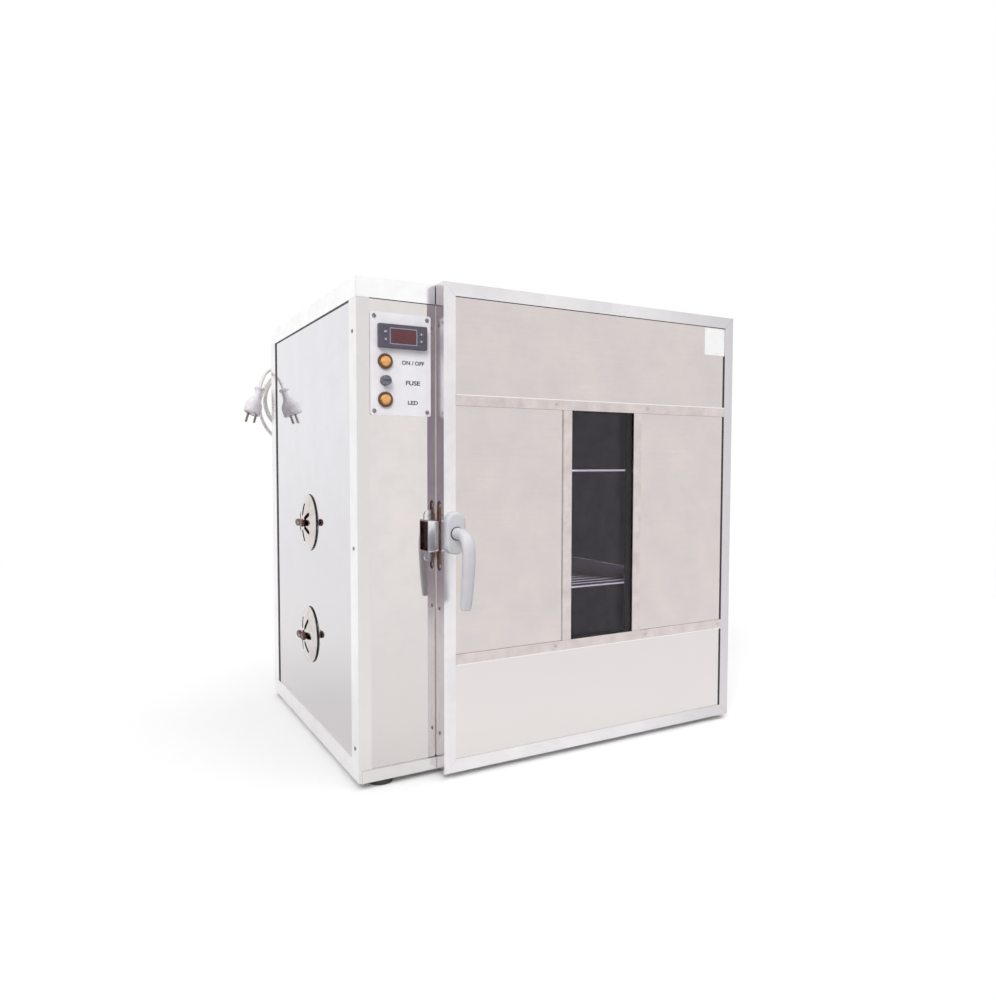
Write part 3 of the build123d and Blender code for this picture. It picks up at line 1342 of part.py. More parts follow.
coil_stops = [n / coil_steps_per_turn for n in range(int(coil_turns * coil_steps_per_turn) + 1)]
with BuildPart() as cord_coil:
    with BuildLine():
        Line(lead_end, coil_point(0))
        for start, end in zip(coil_stops, coil_stops[1:]):
            biarc(coil_point(start), coil_direction(start), coil_point(end), coil_direction(end))
        Line(coil_point(coil_turns), tail_start)
    with BuildSketch(Plane(origin=lead_end, z_dir=coil_start_way)):
        Circle(cord_radius)
    sweep()
finish(cord_coil, "cord_coil")

tail_points = [tail_start, tail_start + coil_end_way * tail_run] + [behind(*p) for p in tail_route]
cord_tail = tube(tail_points)
finish(cord_tail, "cord_tail")

sample_count = int(coil_turns * coil_samples_per_turn)
coil_samples = [coil_point(n / coil_samples_per_turn) for n in range(sample_count + 1)]
coil_gaps = [
    (a - b).length - 2 * cord_radius
    for i, a in enumerate(coil_samples)
    for b in coil_samples[i + coil_samples_per_turn // 2 :]
]
coil_length = sum((b - a).length for a, b in zip(coil_samples, coil_samples[1:]))
print("least coil gap", round(min(coil_gaps), 2), "coil length", round(coil_length, 1))

# Plug at the cord's end, with round pins
plug_start = tail_points[-1]
plug_way = (tail_points[-1] - tail_points[-2]).normalized()
plug_side = plug_way.cross(Vector(*REAR)).normalized()
plug_length = plug_collar_length + plug_waist_length + plug_body_length
plug_outline = [
    (0, 0),
    (0, plug_collar_radius),
    (plug_collar_length, plug_collar_radius),
    (plug_collar_length, plug_waist_radius),
    (plug_collar_length + plug_waist_length, plug_waist_radius),
    (plug_length - plug_rim, plug_face_radius),
    (plug_length, plug_face_radius),
    (plug_length, 0),
]
with BuildPart() as power_plug:
    with BuildSketch(Plane(origin=plug_start, x_dir=plug_way, z_dir=plug_way.cross(plug_side))):
        Polygon(*plug_outline, align=None)
    revolve(axis=Axis(plug_start, plug_way))
    fillet(power_plug.edges().filter_by(GeomType.CIRCLE).sort_by(SortBy.RADIUS)[-2:], radius=plug_edge)
    plug_face = plug_start + plug_way * plug_length
    pin_spots = [plug_face + plug_side * (s * plug_pin_spread) for s in (-1, 1)]
    rods(pin_spots, plug_way, plug_pin_radius, plug_pin_length)
finish(power_plug, "power_plug")
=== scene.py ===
"""Honey warming cabinet: the looks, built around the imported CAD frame.

Sizes are written in millimetres in the CAD frame (+X to the hinges, +Y to the rear, +Z up, floor at 0)
and turned to metres where meshes are made. The stage round the object is written in metres.
"""

from __future__ import annotations

import logging
import math
from dataclasses import dataclass, field, replace
from enum import Enum
from typing import Any, Mapping, Sequence

import bmesh
import bpy
from mathutils import Matrix, Vector

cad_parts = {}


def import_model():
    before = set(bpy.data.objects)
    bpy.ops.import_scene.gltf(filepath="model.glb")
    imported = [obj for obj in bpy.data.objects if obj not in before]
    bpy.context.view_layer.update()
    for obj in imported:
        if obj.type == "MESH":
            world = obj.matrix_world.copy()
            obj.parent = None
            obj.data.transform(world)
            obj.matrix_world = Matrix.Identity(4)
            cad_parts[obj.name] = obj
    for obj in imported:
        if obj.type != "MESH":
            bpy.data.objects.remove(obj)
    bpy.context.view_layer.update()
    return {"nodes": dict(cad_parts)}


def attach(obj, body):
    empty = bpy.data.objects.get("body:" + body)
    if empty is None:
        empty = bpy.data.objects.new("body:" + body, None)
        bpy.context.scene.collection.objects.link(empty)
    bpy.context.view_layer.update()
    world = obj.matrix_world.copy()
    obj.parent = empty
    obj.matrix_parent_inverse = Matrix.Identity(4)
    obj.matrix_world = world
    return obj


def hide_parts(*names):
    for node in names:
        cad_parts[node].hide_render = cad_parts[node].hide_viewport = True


log = logging.getLogger("cabinet")

MM = 0.001
# Points closer than this, in metres, are one point
WELD = 1e-7
# Points on each quarter of a rounded corner
CORNER_POINTS = 6
# The slow noise behind a tone, and the part of its range that the tone drifts over
CLOUD_NOISE = {"Detail": 4.0, "Roughness": 0.6}
CLOUD_SPAN = (0.3, 0.7)
# Rolling streaks run this many times their width, and take this share of the tone
STREAK_RUN = 26.0
STREAK_SHARE = 0.4
# A face takes the painted edge shade as the share of its normal along the sheet's axis falls over this span
CUT_EDGE_SPAN = (0.7, 0.5)
# Coats of lacquer are this rough, and light soaks this far into soft plastic, in millimetres
COAT_ROUGHNESS = 0.08
SOAK_DEPTH = 2.0

LEFT = Vector((-1, 0, 0))
RIGHT = Vector((1, 0, 0))
FRONT = Vector((0, -1, 0))
REAR = Vector((0, 1, 0))
UP = Vector((0, 0, 1))

Spot = tuple[float, float, float]
Pair = tuple[float, float]
Mesh = bpy.types.Mesh
Tree = bpy.types.NodeTree
Socket = bpy.types.NodeSocket


def linear(code: str) -> tuple[float, float, float, float]:
    """Turn an sRGB hex code into a linear colour.

    Args:
        code: six hex digits, with or without a leading mark.

    Returns:
        Linear red, green and blue with full alpha.
    """
    digits = code.lstrip("#")
    channels = []
    for start in (0, 2, 4):
        value = int(digits[start : start + 2], 16) / 255
        low = value <= 0.04045
        channels.append(value / 12.92 if low else ((value + 0.055) / 1.055) ** 2.4)
    return (channels[0], channels[1], channels[2], 1.0)


def add_node(
    tree: Tree,
    kind: str,
    settings: Mapping[Any, Any] | None = None,
    links: Mapping[Any, Any] | None = None,
) -> bpy.types.Node:
    """Add a node, set it up and link it.

    Args:
        tree: the tree that gets the node.
        kind: the node's type name.
        settings: values by property name, or by input name or number.
        links: output sockets by input name or number; a list feeds one input several times.

    Returns:
        The new node.
    """
    node = tree.nodes.new(kind)
    for key, value in (settings or {}).items():
        if isinstance(key, str) and hasattr(node, key):
            setattr(node, key, value)
        else:
            node.inputs[key].default_value = value
    for key, source in (links or {}).items():
        for socket in source if isinstance(source, list) else [source]:
            tree.links.new(socket, node.inputs[key])
    return node


def empty_tree(owner: bpy.types.Material | bpy.types.World) -> Tree:
    """Give a material or a world a node tree with nothing in it.

    Args:
        owner: the material or world.

    Returns:
        Its tree.
    """
    owner.use_nodes = True
    owner.node_tree.nodes.clear()
    return owner.node_tree


def number(tree: Tree, operation: str, *values: Socket | float) -> Socket:
    """Work out a number.

    Args:
        tree: the tree that gets the node.
        operation: what is done with the values.
        values: sockets or plain numbers, in order.

    Returns:
        The number.
    """
    links = {n: value for n, value in enumerate(values) if isinstance(value, Socket)}
    settings = {n: value for n, value in enumerate(values) if n not in links}
    return add_node(tree, "ShaderNodeMath", {"operation": operation, **settings}, links).outputs[0]


def ramp(tree: Tree, value: Socket, span: Pair) -> Socket:
    """Go from 0 to 1 while a value crosses a span."""
    settings = {"From Min": span[0], "From Max": span[1]}
    return add_node(tree, "ShaderNodeMapRange", settings, {"Value": value}).outputs[0]


def blend(tree: Tree, share: Socket, start: Socket | str, end: str) -> Socket:
    """Go from one colour to another.

    Args:
        tree: the tree that gets the node.
        share: how far to go, from 0 to 1.
        start: a hex code, or the socket that brings a colour.
        end: a hex code.

    Returns:
        The colour.
    """
    # Inputs 6 and 7 of this node are its two colours, and output 2 is the mixed one
    settings: dict[Any, Any] = {"data_type": "RGBA", 7: linear(end)}
    links = {0: share}
    if isinstance(start, str):
        settings[6] = linear(start)
    else:
        links[6] = start
    return add_node(tree, "ShaderNodeMix", settings, links).outputs[2]


class Grain(Enum):
    """How a surface was made, which sets the pattern that light breaks on."""

    ROLLED = "rolled and polished sheet"
    EXTRUDED = "extruded and satin finished"
    MOULDED = "injection moulded"
    SPRAYED = "sprayed or powder coated"
    CAST = "die cast"
    DRAWN = "drawn or turned"
    FIBROUS = "fibrous board"
    CLEAR = "float glass or clear plastic"


# The noise that each way of making leaves; moulded and cast skins are cells instead
PLAIN_NOISE = {"Detail": 2.0, "Roughness": 0.45}
DRAWN_NOISE = {"Detail": 4.0, "Roughness": 0.65, "Distortion": 0.4}
FIBRE_NOISE = {"Detail": 6.0, "Roughness": 0.7, "Distortion": 2.5}
GRAIN_NOISE = {Grain.EXTRUDED: DRAWN_NOISE, Grain.DRAWN: DRAWN_NOISE, Grain.FIBROUS: FIBRE_NOISE}
SKIN_CELLS = {"feature": "SMOOTH_F1", "Smoothness": 0.6}


@dataclass(frozen=True)
class Finish:
    """A real material: its tones, its gloss, and the grain its making leaves."""

    name: str
    colour: str
    shade: str
    roughness: float
    spread: float
    grain: Grain
    grain_mm: float
    depth_mm: float
    cloud_mm: float
    metallic: float = 0.0
    ior: float = 1.5
    transmission: float = 0.0
    coat: float = 0.0
    subsurface: float = 0.0
    # A third tone along an axis: painted light and shade
    painted_tone: str = ""
    far_axis: int = 2
    far_mm: Pair = (0.0, 1.0)
    streak_mm: float = 0.0
    # A darker tone painted as shade on the cut edges
    edge_shade: str = ""

    def pattern(self, tree: Tree, spot: Socket) -> Socket:
        """Draw the grain.

        Args:
            tree: the material's tree.
            spot: object coordinates in metres.

        Returns:
            A height from 0 to 1.
        """
        scale = {"Scale": 1 / (self.grain_mm * MM)}
        if self.grain in (Grain.MOULDED, Grain.CAST):
            cells = add_node(tree, "ShaderNodeTexVoronoi", {**SKIN_CELLS, **scale}, {"Vector": spot})
            return cells.outputs["Distance"]
        noise = {**GRAIN_NOISE.get(self.grain, PLAIN_NOISE), **scale}
        return add_node(tree, "ShaderNodeTexNoise", noise, {"Vector": spot}).outputs[0]

    def clouds(self, tree: Tree, spot: Socket) -> Socket:
        """Draw a slow drift, with the level streaks of the rolls where the finish has them.

        Args:
            tree: the material's tree.
            spot: object coordinates in metres.

        Returns:
            A share from 0 to 1.
        """
        noise = {"Scale": 1 / (self.cloud_mm * MM), **CLOUD_NOISE}
        slow = add_node(tree, "ShaderNodeTexNoise", noise, {"Vector": spot})
        drift = ramp(tree, slow.outputs[0], CLOUD_SPAN)
        if self.streak_mm == 0:
            return drift
        fine, long = 1 / (self.streak_mm * MM), 1 / (self.streak_mm * STREAK_RUN * MM)
        settings = {"operation": "MULTIPLY", 1: (long, long, fine)}
        drawn = add_node(tree, "ShaderNodeVectorMath", settings, {0: spot})
        noise = {"Scale": 1.0, "Detail": 3.0}
        lines = add_node(tree, "ShaderNodeTexNoise", noise, {"Vector": drawn.outputs[0]})
        # Inputs 2 and 3 of this node are its two numbers
        links = {2: drift, 3: lines.outputs[0]}
        return add_node(tree, "ShaderNodeMix", {0: STREAK_SHARE}, links).outputs[0]

    def cut_edges(self, tree: Tree, colour: Socket) -> Socket:
        """Paint shade on the faces across a sheet that faces the left: its rim and the walls of its slots,
        where shadow lies in the slots and under the rim.

        Args:
            tree: the material's tree.
            colour: the tone of the sheet's face.

        Returns:
            The colour.
        """
        facing = add_node(tree, "ShaderNodeTexCoord").outputs["Normal"]
        along = add_node(tree, "ShaderNodeSeparateXYZ", {}, {0: facing}).outputs[0]
        share = ramp(tree, number(tree, "ABSOLUTE", along), CUT_EDGE_SPAN)
        return blend(tree, share, colour, self.edge_shade)

    def tone(self, tree: Tree, spot: Socket, cloud: Socket) -> Socket:
        """Mix the two tones in clouds, and go over to a third, painted light and shade, along an axis where
        the finish has one.

        Args:
            tree: the material's tree.
            spot: object coordinates in metres.
            cloud: a slow drift from 0 to 1.

        Returns:
            The colour.
        """
        mixed = blend(tree, cloud, self.colour, self.shade)
        if self.edge_shade:
            mixed = self.cut_edges(tree, mixed)
        if not self.painted_tone:
            return mixed
        place = add_node(tree, "ShaderNodeSeparateXYZ", {}, {0: spot}).outputs[self.far_axis]
        share = ramp(tree, place, (self.far_mm[0] * MM, self.far_mm[1] * MM))
        return blend(tree, share, mixed, self.painted_tone)

    def material(self) -> bpy.types.Material:
        """Make the material once, and hand out the same one after that.

        Returns:
            The material.
        """
        made = bpy.data.materials.get(self.name)
        if made is not None:
            return made
        made = bpy.data.materials.new(self.name)
        tree = empty_tree(made)
        spot = add_node(tree, "ShaderNodeTexCoord").outputs["Object"]
        cloud = self.clouds(tree, spot)
        gloss_range = {
            "To Min": max(self.roughness - self.spread, 0.0),
            "To Max": self.roughness + self.spread,
        }
        gloss = add_node(tree, "ShaderNodeMapRange", gloss_range, {"Value": cloud})
        settings: dict[Any, Any] = {
            "Metallic": self.metallic,
            "Transmission Weight": self.transmission,
            "Coat Weight": self.coat,
            "Coat Roughness": COAT_ROUGHNESS,
            "Subsurface Weight": self.subsurface,
            "Subsurface Scale": SOAK_DEPTH * MM,
        }
        if self.metallic == 0:
            settings["IOR"] = self.ior
        links = {"Base Color": self.tone(tree, spot, cloud), "Roughness": gloss.outputs[0]}
        if self.depth_mm > 0:
            height = {"Height": self.pattern(tree, spot)}
            bump = add_node(tree, "ShaderNodeBump", {"Distance": self.depth_mm * MM}, height)
            links["Normal"] = bump.outputs[0]
        shader = add_node(tree, "ShaderNodeBsdfPrincipled", settings, links)
        add_node(tree, "ShaderNodeOutputMaterial", {}, {"Surface": shader.outputs[0]})
        return made


# Values in order: name, two tones, roughness and its spread, the grain, its size and depth, the clouds' size

# Stainless sheet, polished: a cool mirror that wavers a little where the sheet oil-cans between its edges,
# darker towards the bottom with painted shade for the shadowed floor that it mirrors
POLISHED_STEEL = Finish(
    "polished_stainless_sheet", "#E6E5EA", "#DDDCE1", 0.045, 0.02, Grain.ROLLED, 180, 0.1, 60,
    metallic=1.0, painted_tone="#CFCBCC", far_mm=(560.0, 100.0), streak_mm=2.5,
)
# The fixed front sheet, from a warmer batch: it shows the handle, slightly blurred, and is darker towards the
# bottom with painted shade for the shadowed floor that it mirrors
FRONT_STEEL = Finish(
    "front_stainless_sheet", "#E7DFDD", "#DBD7D6", 0.04, 0.03, Grain.ROLLED, 150, 0.12, 45,
    metallic=1.0, painted_tone="#D3CECD", far_mm=(360.0, 60.0), streak_mm=2.5,
)
# The door's sheets have been wiped down more often, so their mirror is veiled and cloudy; the lowest sheet is
# given a lighter tone
DOOR_STEEL = Finish(
    "wiped_stainless_sheet", "#DFD4D1", "#CEC9C8", 0.17, 0.05, Grain.ROLLED, 130, 0.16, 70,
    metallic=1.0, painted_tone="#E0DBDA", far_mm=(187.0, 184.0), streak_mm=2.5,
)
# The sheet behind the door is one piece, without the lowest sheet's lighter tone
BACK_STEEL = replace(DOOR_STEEL, name="door_back_stainless_sheet", painted_tone="")
# Cold rolled stainless with a mill finish: softer than the outside, and greyer, partly from the mill finish
# and partly painted shade for the closed chamber
LINER_STEEL = Finish(
    "mill_finish_stainless", "#968F98", "#837D86", 0.46, 0.05, Grain.ROLLED, 90, 0.02, 40, metallic=1.0
)
# Satin aluminium angle: near white, with an etched grain that blurs what it mirrors (drawn coarse to show)
TRIM_ALUMINIUM = Finish(
    "satin_aluminium_angle", "#FFFFFF", "#F8F8F9", 0.2, 0.05, Grain.EXTRUDED, 2.2, 0.004, 35, metallic=1.0
)
# The corner angles' front legs are duller: painted shade for the darker surroundings that they mirror
CORNER_ALUMINIUM = Finish(
    "aluminium_angle_front_shade", "#F5F3F4", "#EFECEE", 0.2, 0.05, Grain.EXTRUDED, 2.2, 0.004, 35,
    metallic=1.0, painted_tone="#DFDBDB", far_axis=1, far_mm=(-261.1, -261.3),
)
# The door's channels are the same metal, greyer towards the hinges: painted shade for the darker surroundings
# that they mirror
FRAME_ALUMINIUM = Finish(
    "satin_aluminium_channel", "#EEEBED", "#E1DEE1", 0.24, 0.02, Grain.EXTRUDED, 2.2, 0.001, 60,
    metallic=1.0, painted_tone="#D2CFD2", far_axis=0, far_mm=(120.0, 365.0),
)
# Folded stainless round the window: as warm as the door's sheets, with a painted highlight on its raised
# front faces
BAND_STEEL = Finish(
    "folded_stainless_band", "#DDD3D1", "#CCC2BF", 0.15, 0.04, Grain.ROLLED, 60, 0.06, 26,
    metallic=1.0, painted_tone="#F4F0F0", far_axis=1, far_mm=(-290.7, -290.8),
)
# Powder-coated steel plate: bright white with the faint dimples of sprayed powder
WHITE_PLATE = Finish(
    "white_powder_coat", "#F5F2F6", "#EDEAEF", 0.35, 0.05, Grain.SPRAYED, 1.6, 0.02, 25
)
# Glass-filled ABS from an etched mould: dark blue-grey with a soft sheen
BEZEL_ABS = Finish("dark_abs", "#585562", "#4D4A56", 0.42, 0.06, Grain.MOULDED, 0.9, 0.02, 9)
# The keys come from the same plastic, worn smoother by fingers
KEY_ABS = Finish("key_abs", "#66646F", "#595762", 0.33, 0.08, Grain.MOULDED, 1.1, 0.015, 4)
# Smoked acrylic window over unlit digits: dark red with a hard gloss
RED_ACRYLIC = Finish(
    "smoked_red_acrylic", "#5A1E27", "#4A171F", 0.08, 0.03, Grain.CLEAR, 30, 0.01, 12, ior=1.49, coat=0.5
)
# Unlit digit bars seen through the red window
DIGIT_BAR = Finish("unlit_digit_bar", "#6B2831", "#60222B", 0.3, 0.05, Grain.CLEAR, 8, 0.004, 6, ior=1.49)
# Amber polycarbonate: light soaks in and comes back orange
AMBER_LENS = Finish(
    "amber_polycarbonate", "#F7BE72", "#EAA24E", 0.16, 0.05, Grain.CLEAR, 3, 0.03, 5,
    ior=1.58, coat=0.4, subsurface=0.35,
)
# The rockers' moulded edge is thicker, so less light comes back from it
AMBER_EDGE = Finish(
    "amber_edge", "#CB8640", "#B47133", 0.22, 0.05, Grain.CLEAR, 3, 0.02, 5, ior=1.58, subsurface=0.2
)
# Nylon switch rings: dark brown with a soft sheen
SWITCH_NYLON = Finish("brown_nylon", "#6A4E3E", "#574033", 0.36, 0.07, Grain.MOULDED, 0.8, 0.02, 6)
# Black nylon behind the fuse cap and under the lever
BLACK_NYLON = Finish("black_nylon", "#221C1A", "#2B2422", 0.38, 0.07, Grain.MOULDED, 0.8, 0.02, 6)
# Phenolic fuse cap: dark grey and slightly dusty
FUSE_PHENOLIC = Finish("dark_phenolic", "#73737C", "#66666F", 0.4, 0.08, Grain.MOULDED, 0.7, 0.02, 5)
# Screen-printed ink: flat dark grey
PRINT_INK = Finish("screen_print_ink", "#3C3D42", "#46474C", 0.55, 0.05, Grain.SPRAYED, 0.5, 0.004, 4)
# Pale print on the keys
ICON_INK = Finish("icon_print_ink", "#E6E6EA", "#D8D8DE", 0.5, 0.05, Grain.SPRAYED, 0.5, 0.004, 4)
# Thin lavender-grey line round the display
LINE_INK = Finish("display_line_ink", "#B4B3CC", "#A5A4BE", 0.45, 0.05, Grain.SPRAYED, 0.6, 0.004, 5)
# Pressed stainless vent discs: bright, slightly uneven from the press, with painted shade on the cut edges
# for the shadow in the slots and under the rim
DISC_STEEL = Finish(
    "pressed_stainless_disc", "#DED8D6", "#CFC8C5", 0.15, 0.05, Grain.ROLLED, 25, 0.05, 14,
    metallic=1.0, edge_shade="#857E7B",
)
# Zinc-plated steel: bright grey with cloudy patches
ZINC_STEEL = Finish(
    "zinc_plated_steel", "#C6C6C4", "#A9AAA9", 0.26, 0.08, Grain.DRAWN, 1.2, 0.004, 4, metallic=1.0
)
# Burnished screws look dark against the white plate
DARK_STEEL = Finish(
    "burnished_steel", "#A39FA0", "#8A8687", 0.3, 0.08, Grain.DRAWN, 1.0, 0.004, 3, metallic=1.0
)
# Aluminium blind rivets in the window's bands: nearly as bright as the sheet
RIVET_ALUMINIUM = Finish(
    "rivet_aluminium", "#CFC9C8", "#BDB7B6", 0.3, 0.06, Grain.DRAWN, 1.0, 0.004, 4, metallic=1.0
)
# Steel rivets in the trims and the door's edge: dull grey, darker than the metal round them
RIVET_STEEL = Finish(
    "rivet_steel", "#9C9697", "#837D7E", 0.34, 0.06, Grain.DRAWN, 1.0, 0.004, 4, metallic=1.0
)
# Cast bronze wing nuts, darkened to brown
NUT_BRONZE = Finish("aged_bronze", "#6E5049", "#55403A", 0.34, 0.1, Grain.CAST, 1.4, 0.05, 5, metallic=1.0)
# Die-cast handle sprayed with pale silver lacquer: near white, with broad soft highlights
HANDLE_LACQUER = Finish(
    "silver_lacquer_casting", "#CDCDD2", "#C6C6CB", 0.34, 0.03, Grain.CAST, 9, 0.0, 20, coat=0.35
)
# Chromed die-cast keeper: bright, with a soft casting skin
KEEPER_CHROME = Finish(
    "chromed_casting", "#E8E8EA", "#D9D9DC", 0.14, 0.05, Grain.CAST, 5, 0.03, 8, metallic=1.0
)
# The lock's plate has a brown passivated coat
LOCK_BROWN = Finish(
    "brown_passivated_steel", "#8C5D49", "#714938", 0.42, 0.08, Grain.DRAWN, 1.5, 0.006, 8, metallic=0.2
)
# Float glass with a bloomed surface: flat and clear, mirrors less than plain glass
FLOAT_GLASS = Finish(
    "float_glass", "#E6E1EA", "#E2DDE7", 0.008, 0.004, Grain.CLEAR, 180, 0.0, 70, ior=1.27, transmission=1.0
)
# Silicone profile between door and case: milky white, slightly translucent
SEAL_SILICONE = Finish(
    "white_silicone", "#F4EFEE", "#E8E3E2", 0.5, 0.06, Grain.MOULDED, 1.4, 0.02, 14, ior=1.41, subsurface=0.1
)
# Dark strips in the corners between sheet and trim, painted shadow for the gaps there: nearly black, with a
# dull skin
GAP_SHADOW = Finish("painted_gap_shadow", "#3A363C", "#2E2B30", 0.55, 0.08, Grain.MOULDED, 3, 0.05, 10)
# Needle felt under the vent discs, fibrous; its black is painted shade for the dark cavity under each disc
SHADE_FELT = Finish("felt_painted_black", "#211F20", "#191718", 0.9, 0.05, Grain.FIBROUS, 1.5, 0.15, 8)
# EPDM profile: near black and slightly chalky
SEAL_RUBBER = Finish("epdm_rubber", "#222224", "#2C2C2E", 0.62, 0.08, Grain.MOULDED, 1.2, 0.03, 12)
# Feet of harder rubber, lighter brown-grey than black rubber: painted light so that they show in the shade
# under the case
FOOT_RUBBER = Finish("foot_rubber", "#7A6655", "#8A7462", 0.66, 0.08, Grain.MOULDED, 1.5, 0.04, 8)
# Pressed mineral wool board: dull yellow-brown fibres
MINERAL_WOOL = Finish("mineral_wool_board", "#B7A067", "#8F7B4A", 0.9, 0.05, Grain.FIBROUS, 5, 0.9, 14)
# Fan plastic: black, lightly textured
FAN_PBT = Finish("black_pbt", "#1C1D1F", "#242527", 0.45, 0.07, Grain.MOULDED, 0.9, 0.02, 9)
# Heater sheath: stainless tube straw-tinted by heat
HEATER_STEEL = Finish(
    "heat_tinted_stainless", "#A2917F", "#857768", 0.3, 0.08, Grain.DRAWN, 1.4, 0.005, 22, metallic=1.0
)
# Opal cover over the lamp strip
LAMP_OPAL = Finish(
    "opal_acrylic", "#F0F0EC", "#E6E6E2", 0.4, 0.05, Grain.CLEAR, 20, 0.02, 30, ior=1.49, subsurface=0.3
)
# Chromed shelf wire: bright lines with slight plating clouds
SHELF_CHROME = Finish(
    "chromed_wire", "#F4F4F5", "#E8E8EA", 0.16, 0.05, Grain.DRAWN, 1.6, 0.004, 12, metallic=1.0
)
# Soft PVC sheath: grey-white with a waxy gloss
CORD_PVC = Finish(
    "white_pvc", "#E6E3E2", "#DAD7D6", 0.38, 0.06, Grain.MOULDED, 1.4, 0.02, 18, subsurface=0.1
)
# Rubber-like plug moulding: the same white, a little greyer and duller
PLUG_PVC = Finish(
    "plug_pvc", "#E4E0E3", "#D8D4D8", 0.44, 0.06, Grain.MOULDED, 1.1, 0.03, 10, subsurface=0.08
)
# Nickel-plated brass pins, gone brownish in patches
PIN_NICKEL = Finish(
    "nickel_plated_brass", "#A3968F", "#857870", 0.24, 0.08, Grain.DRAWN, 1.0, 0.004, 6, metallic=1.0
)
# Blank vinyl label: white, slightly glossy
LABEL_VINYL = Finish("white_vinyl", "#FCFCFC", "#F7F7F8", 0.32, 0.06, Grain.SPRAYED, 2.5, 0.006, 16)

CAD_FINISHES: dict[Finish, tuple[str, ...]] = {
    POLISHED_STEEL: ("base_panel", "top_panel", "left_side_panel", "right_side_panel", "rear_panel"),
    FRONT_STEEL: ("front_panel",),
    DOOR_STEEL: ("door_sheets",),
    BACK_STEEL: ("door_back_sheet",),
    LINER_STEEL: ("chamber_liner", "fan_wall", "shelf_rails"),
    TRIM_ALUMINIUM: ("top_trims",),
    CORNER_ALUMINIUM: ("corner_trims", "bottom_trims"),
    FRAME_ALUMINIUM: ("door_frame",),
    BAND_STEEL: ("window_trim",),
    MINERAL_WOOL: ("wall_insulation", "door_core"),
    FOOT_RUBBER: ("rubber_feet",),
    SEAL_SILICONE: ("door_seal",),
    SEAL_RUBBER: ("window_gasket",),
    WHITE_PLATE: ("control_plate",),
    BEZEL_ABS: ("thermostat_case",),
    KEY_ABS: ("set_key", "lamp_key", "up_key", "down_key"),
    RED_ACRYLIC: ("thermostat_display",),
    AMBER_LENS: ("power_rocker", "lamp_rocker"),
    SWITCH_NYLON: ("switch_bodies",),
    BLACK_NYLON: ("fuse_holder",),
    FUSE_PHENOLIC: ("fuse_cap",),
    DISC_STEEL: ("upper_vent_disc", "lower_vent_disc"),
    KEEPER_CHROME: ("latch_keeper",),
    LOCK_BROWN: ("lock_case",),
    ZINC_STEEL: (
        "latch_bolt", "hinge_leaves_case", "hinge_leaves_door", "hinge_pins", "cable_hook", "sensor_probe",
    ),
    HANDLE_LACQUER: ("handle_rosette",),
    FLOAT_GLASS: ("window_panes",),
    FAN_PBT: ("fan_frame", "fan_rotor"),
    HEATER_STEEL: ("heater",),
    LAMP_OPAL: ("lamp_strip",),
    SHELF_CHROME: ("wire_shelves",),
    PLUG_PVC: ("cable_gland",),
}


def metres(points: Sequence[Sequence[float]]) -> list[Vector]:
    """Turn points in millimetres into points in metres."""
    return [Vector(p) * MM for p in points]


def aimed(origin: Vector, direction: Vector) -> Matrix:
    """A placing that takes +Z to a direction and the origin to a point."""
    return Matrix.Translation(origin) @ direction.to_track_quat("Z", "Y").to_matrix().to_4x4()


def linked(name: str, data: bpy.types.ID) -> bpy.types.Object:
    """Put an object with some data into the scene.

    Args:
        name: the object's name.
        data: its mesh, curve, light or camera.

    Returns:
        The object.
    """
    holder = bpy.data.objects.new(name, data)
    bpy.context.scene.collection.objects.link(holder)
    return holder


def plain_mesh(curve: bpy.types.Curve) -> Mesh:
    """Turn an outline or a word into a plain mesh.

    Args:
        curve: the outline or word; it is removed.

    Returns:
        The mesh.
    """
    holder = linked(curve.name, curve)
    shown = holder.evaluated_get(bpy.context.evaluated_depsgraph_get())
    mesh = bpy.data.meshes.new_from_object(shown)
    bpy.data.objects.remove(holder)
    bpy.data.curves.remove(curve)
    return mesh


def make_piece(name: str, mesh: Mesh, finish: Finish, body: str) -> bpy.types.Object:
    """Show a mesh as a piece of the object.

    Args:
        name: the piece's name.
        mesh: its mesh, already in place.
        finish: what it is made of.
        body: the CAD body it moves with.

    Returns:
        The piece.
    """
    mesh.name = name
    piece = linked(name, mesh)
    mesh.materials.clear()
    mesh.materials.append(finish.material())
    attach(piece, body)
    log.info("%s: %d faces on %s", name, len(mesh.polygons), body)
    return piece


def mesh_of(shape: bmesh.types.BMesh, smooth_angle: float | None = 40.0) -> Mesh:
    """Turn a working shape into a mesh with outward faces.

    Args:
        shape: the shape, in metres; it is freed.
        smooth_angle: edges flatter than this are shaded smooth; None leaves them flat.

    Returns:
        The mesh.
    """
    bmesh.ops.remove_doubles(shape, verts=shape.verts, dist=WELD)
    bmesh.ops.recalc_face_normals(shape, faces=shape.faces)
    mesh = bpy.data.meshes.new("shape")
    shape.to_mesh(mesh)
    shape.free()
    if smooth_angle is not None:
        mesh.shade_smooth()
        mesh.set_sharp_from_angle(angle=math.radians(smooth_angle))
    return mesh


def loft(shape: bmesh.types.BMesh, rings: Sequence[Sequence[Vector]], hoop: bool = False) -> None:
    """Skin closed rings in order.

    Args:
        shape: the shape that gets the faces.
        rings: rings of equal count; a ring of one point makes a pole.
        hoop: joins the last ring to the first; otherwise both ends are closed.
    """
    rows = [[shape.verts.new(p) for p in ring] for ring in rings]
    for low, high in zip(rows, rows[1:] + (rows[:1] if hoop else [])):
        count = max(len(low), len(high))
        for n in range(count):
            after = (n + 1) % count
            corners = [low[n % len(low)], low[after % len(low)], high[after % len(high)], high[n % len(high)]]
            shape.faces.new(list(dict.fromkeys(corners)))
    for row in () if hoop else (rows[0], rows[-1]):
        if len(row) > 2:
            shape.faces.new(row)


def compass(count: int) -> list[Pair]:
    """Cosine and sine of equal steps round a whole turn."""
    angles = [2 * math.pi * n / count for n in range(count)]
    return [(math.cos(angle), math.sin(angle)) for angle in angles]


